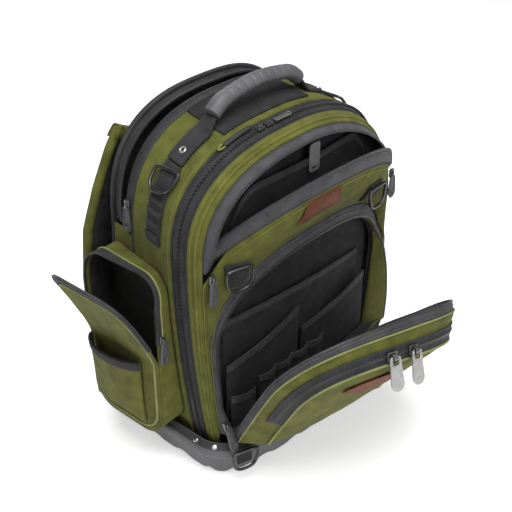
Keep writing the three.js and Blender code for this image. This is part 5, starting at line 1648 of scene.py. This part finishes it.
# Flap zip's two coated steel sliders on the black band, each with a bored bridge.
# A large satin steel pull hangs in each bridge by its top bar and swings freely.
SLIDER_LENGTH, SLIDER_WIDTH, SLIDER_THICK, PIN_HIGH = 14.0, 11.0, 4.0, 7.4
BRIDGE_HALF, BRIDGE_ROUND, BRIDGE_BORE = 3.0, 4.2, 2.1
STEEL_HALF, STEEL_FREE, STEEL_BAR, STEEL_LENGTH, STEEL_THICK = 7.0, 9.0, 1.25, 42.0, 2.5
WINDOW_HALF, WINDOW_LOW, WINDOW_ROUND = 4.0, -9.5, 1.2
BRIDGE_TALL, BRIDGE_DOWN, BRIDGE_SOFT, BRIDGE_POINTS = 5.6, 2.0, 3.8, 28
FLAP_SLIDERS = (("left", 12.1), ("right", 13.2))


def seat_on_band(cell):
    lift = BAND_SEAT + TAPE
    run = (flap_band(cell + 0.3, 0.5, lift) - flap_band(cell - 0.3, 0.5, lift)).normalized()
    slope = (flap_band(cell, 0.8, lift) - flap_band(cell, 0.2, lift)).normalized()
    normal = slope.cross(run).normalized()
    return flap_band(cell, 0.5, lift) + normal * 2 * GAP, run, normal


def window_loop():
    middle = (-STEEL_BAR + WINDOW_LOW) / 2
    loop = rounded_box(WINDOW_HALF, (-STEEL_BAR - WINDOW_LOW) / 2, WINDOW_ROUND, TONGUE_POINTS)
    return [(x, middle + y) for x, y in reversed(loop)]


# The bridge is cut as a plate, then stood on edge along the zip
def bridge_shape():
    outline = rounded_box(BRIDGE_ROUND, BRIDGE_TALL, BRIDGE_SOFT, BRIDGE_POINTS)
    bore = rounded_box(BRIDGE_BORE, BRIDGE_BORE, BRIDGE_BORE - 0.1, BRIDGE_POINTS)
    bm = plate(
        [(x, y + PIN_HIGH - BRIDGE_DOWN) for x, y in outline], [(x, y + PIN_HIGH) for x, y in bore],
        2 * BRIDGE_HALF, 0.4)
    bm.transform(Matrix.Translation((0.0, 0.0, -BRIDGE_HALF)))
    bm.transform(Matrix(((0, 0, 1, 0), (1, 0, 0, 0), (0, 1, 0, 0), (0, 0, 0, 1))))
    return bm


for label, cell in FLAP_SLIDERS:
    seat, run, normal = seat_on_band(cell)
    frame_here = axes(seat, run, normal.cross(run))
    bm = bridge_shape()
    block = Matrix.Diagonal((SLIDER_LENGTH, SLIDER_WIDTH, SLIDER_THICK, 1.0))
    raised = Matrix.Translation((0.0, 0.0, SLIDER_THICK / 2)) @ block
    corners = bmesh.ops.create_cube(bm, size=1.0, matrix=raised)["verts"]
    edges = [edge for edge in bm.edges if edge.verts[0] in corners and edge.verts[1] in corners]
    bmesh.ops.bevel(bm, geom=edges, offset=1.0, segments=3, profile=0.5, affect="EDGES", material=-1)
    set_down(f"flap_slider_{label}", bm, frame_here, gunmetal, slot="steel", solid=True)
    pin = axes(seat + normal * PIN_HIGH, run, normal.cross(run)) @ Matrix.Translation((0, 0, -STEEL_THICK / 2))
    bm = plate(tongue(STEEL_HALF, STEEL_FREE, STEEL_LENGTH, STEEL_BAR), window_loop(), STEEL_THICK, 0.7)
    set_down(f"flap_pull_{label}", bm, pin, satin_steel, solid=True, body=f"steel_pull_{label}")

# Shoulder straps: plump foam in black cloth bound with olive, tapering into a length of black webbing.
# They hang from the top of the back panel and run down to the base's rear corners.
# Place across, depth, height and half-width of each row of the pad, then of the webbing
STRAP_ROWS = (
    (98.0, 109.6, 408.0, 31.0), (112.0, 111.0, 380.0, 36.0), (130.0, 116.0, 335.0, 37.0),
    (146.0, 121.0, 285.0, 37.0),
    (152.0, 121.0, 238.0, 36.0), (148.0, 117.0, 195.0, 28.0),
)
STRAP_WEB_ROWS = (
    (148.0, 120.0, 194.0, 12.5), (144.0, 116.0, 150.0, 12.5), (136.0, 111.0, 95.0, 12.5),
    (132.0, 109.4, 66.0, 12.5))
STRAP_PAD, STRAP_START, FOAM_SIDE, FOAM_ENDS = 12.0, 3.5, 0.94, (0.015, 0.985)
BINDING_REACH, TIP_SIDE, WRAP_POWER = (0.78, 1.0), 1.02, 0.6
STRAP_TIPS = (("cap", (0.11, -0.02)), ("foot", (0.95, 1.01)))


def strap_point(rows, sign, k, side, lift):
    def column(n, at):
        return along([row[n] for row in rows], clamp(at))
    rise, run = (column(n, k + 0.05) - column(n, k - 0.05) for n in (2, 0))
    slope = Vector((run, rise)).normalized()
    out = column(3, k) * side
    return Vector((sign * (column(0, k) - slope.y * out), column(1, k) + lift, column(2, k) + slope.x * out))


# Bent round an edge or an end of the strap: how far out, and how high, a turn from its back to its front lies
def wrapped(v, reach, over):
    turn = math.pi * (v - 0.5)
    return lerp(*reach, math.cos(turn) ** WRAP_POWER), STRAP_PAD / 2 + (STRAP_PAD / 2 + over) * math.sin(turn)


def square_wave(value, gain):
    return math.copysign(min(1.0, abs(value) * gain), value)


def shoulder_strap(label, sign):
    def foam(u, v):
        angle = 2 * math.pi * v
        side = FOAM_SIDE * square_wave(math.cos(angle), 1.25)
        lift = STRAP_PAD / 2 + (STRAP_PAD / 2 - STRAP_START) * square_wave(math.sin(angle), 1.6)
        return strap_point(STRAP_ROWS, sign, lerp(*FOAM_ENDS, u), side, lift)

    mesh = smooth_faces(plump(closed_shell((60, 24), foam), 0.005, 4.0, 0.004))
    strap = add_piece(f"shoulder_strap_{label}", mesh, pad_black, solid=True)
    round_off(strap)
    for edge, side in (("inner", -1.0), ("outer", 1.0)):
        def binding(u, v):
            reach, lift = wrapped(v, BINDING_REACH, 0.4)
            return strap_point(STRAP_ROWS, sign, u, side * reach, lift)
        sew(f"strap_binding_{label}_{edge}", (60, 12), binding, olive, 1.0)

    def lower(u, v):
        return strap_point(STRAP_WEB_ROWS, sign, u, 2.0 * v - 1.0, WEBBING)
    sew(f"strap_webbing_{label}", (48, 6), lower, webbing, WEBBING, solid=True)
    for end, reach in STRAP_TIPS:
        def tip(u, v):
            k, lift = wrapped(v, reach, 0.8)
            return strap_point(STRAP_ROWS, sign, k, lerp(-TIP_SIDE, TIP_SIDE, u), lift)
        sew(f"strap_{end}_{label}", (12, 12), tip, olive, 1.0)


shoulder_strap("left", -1.0)
shoulder_strap("right", 1.0)
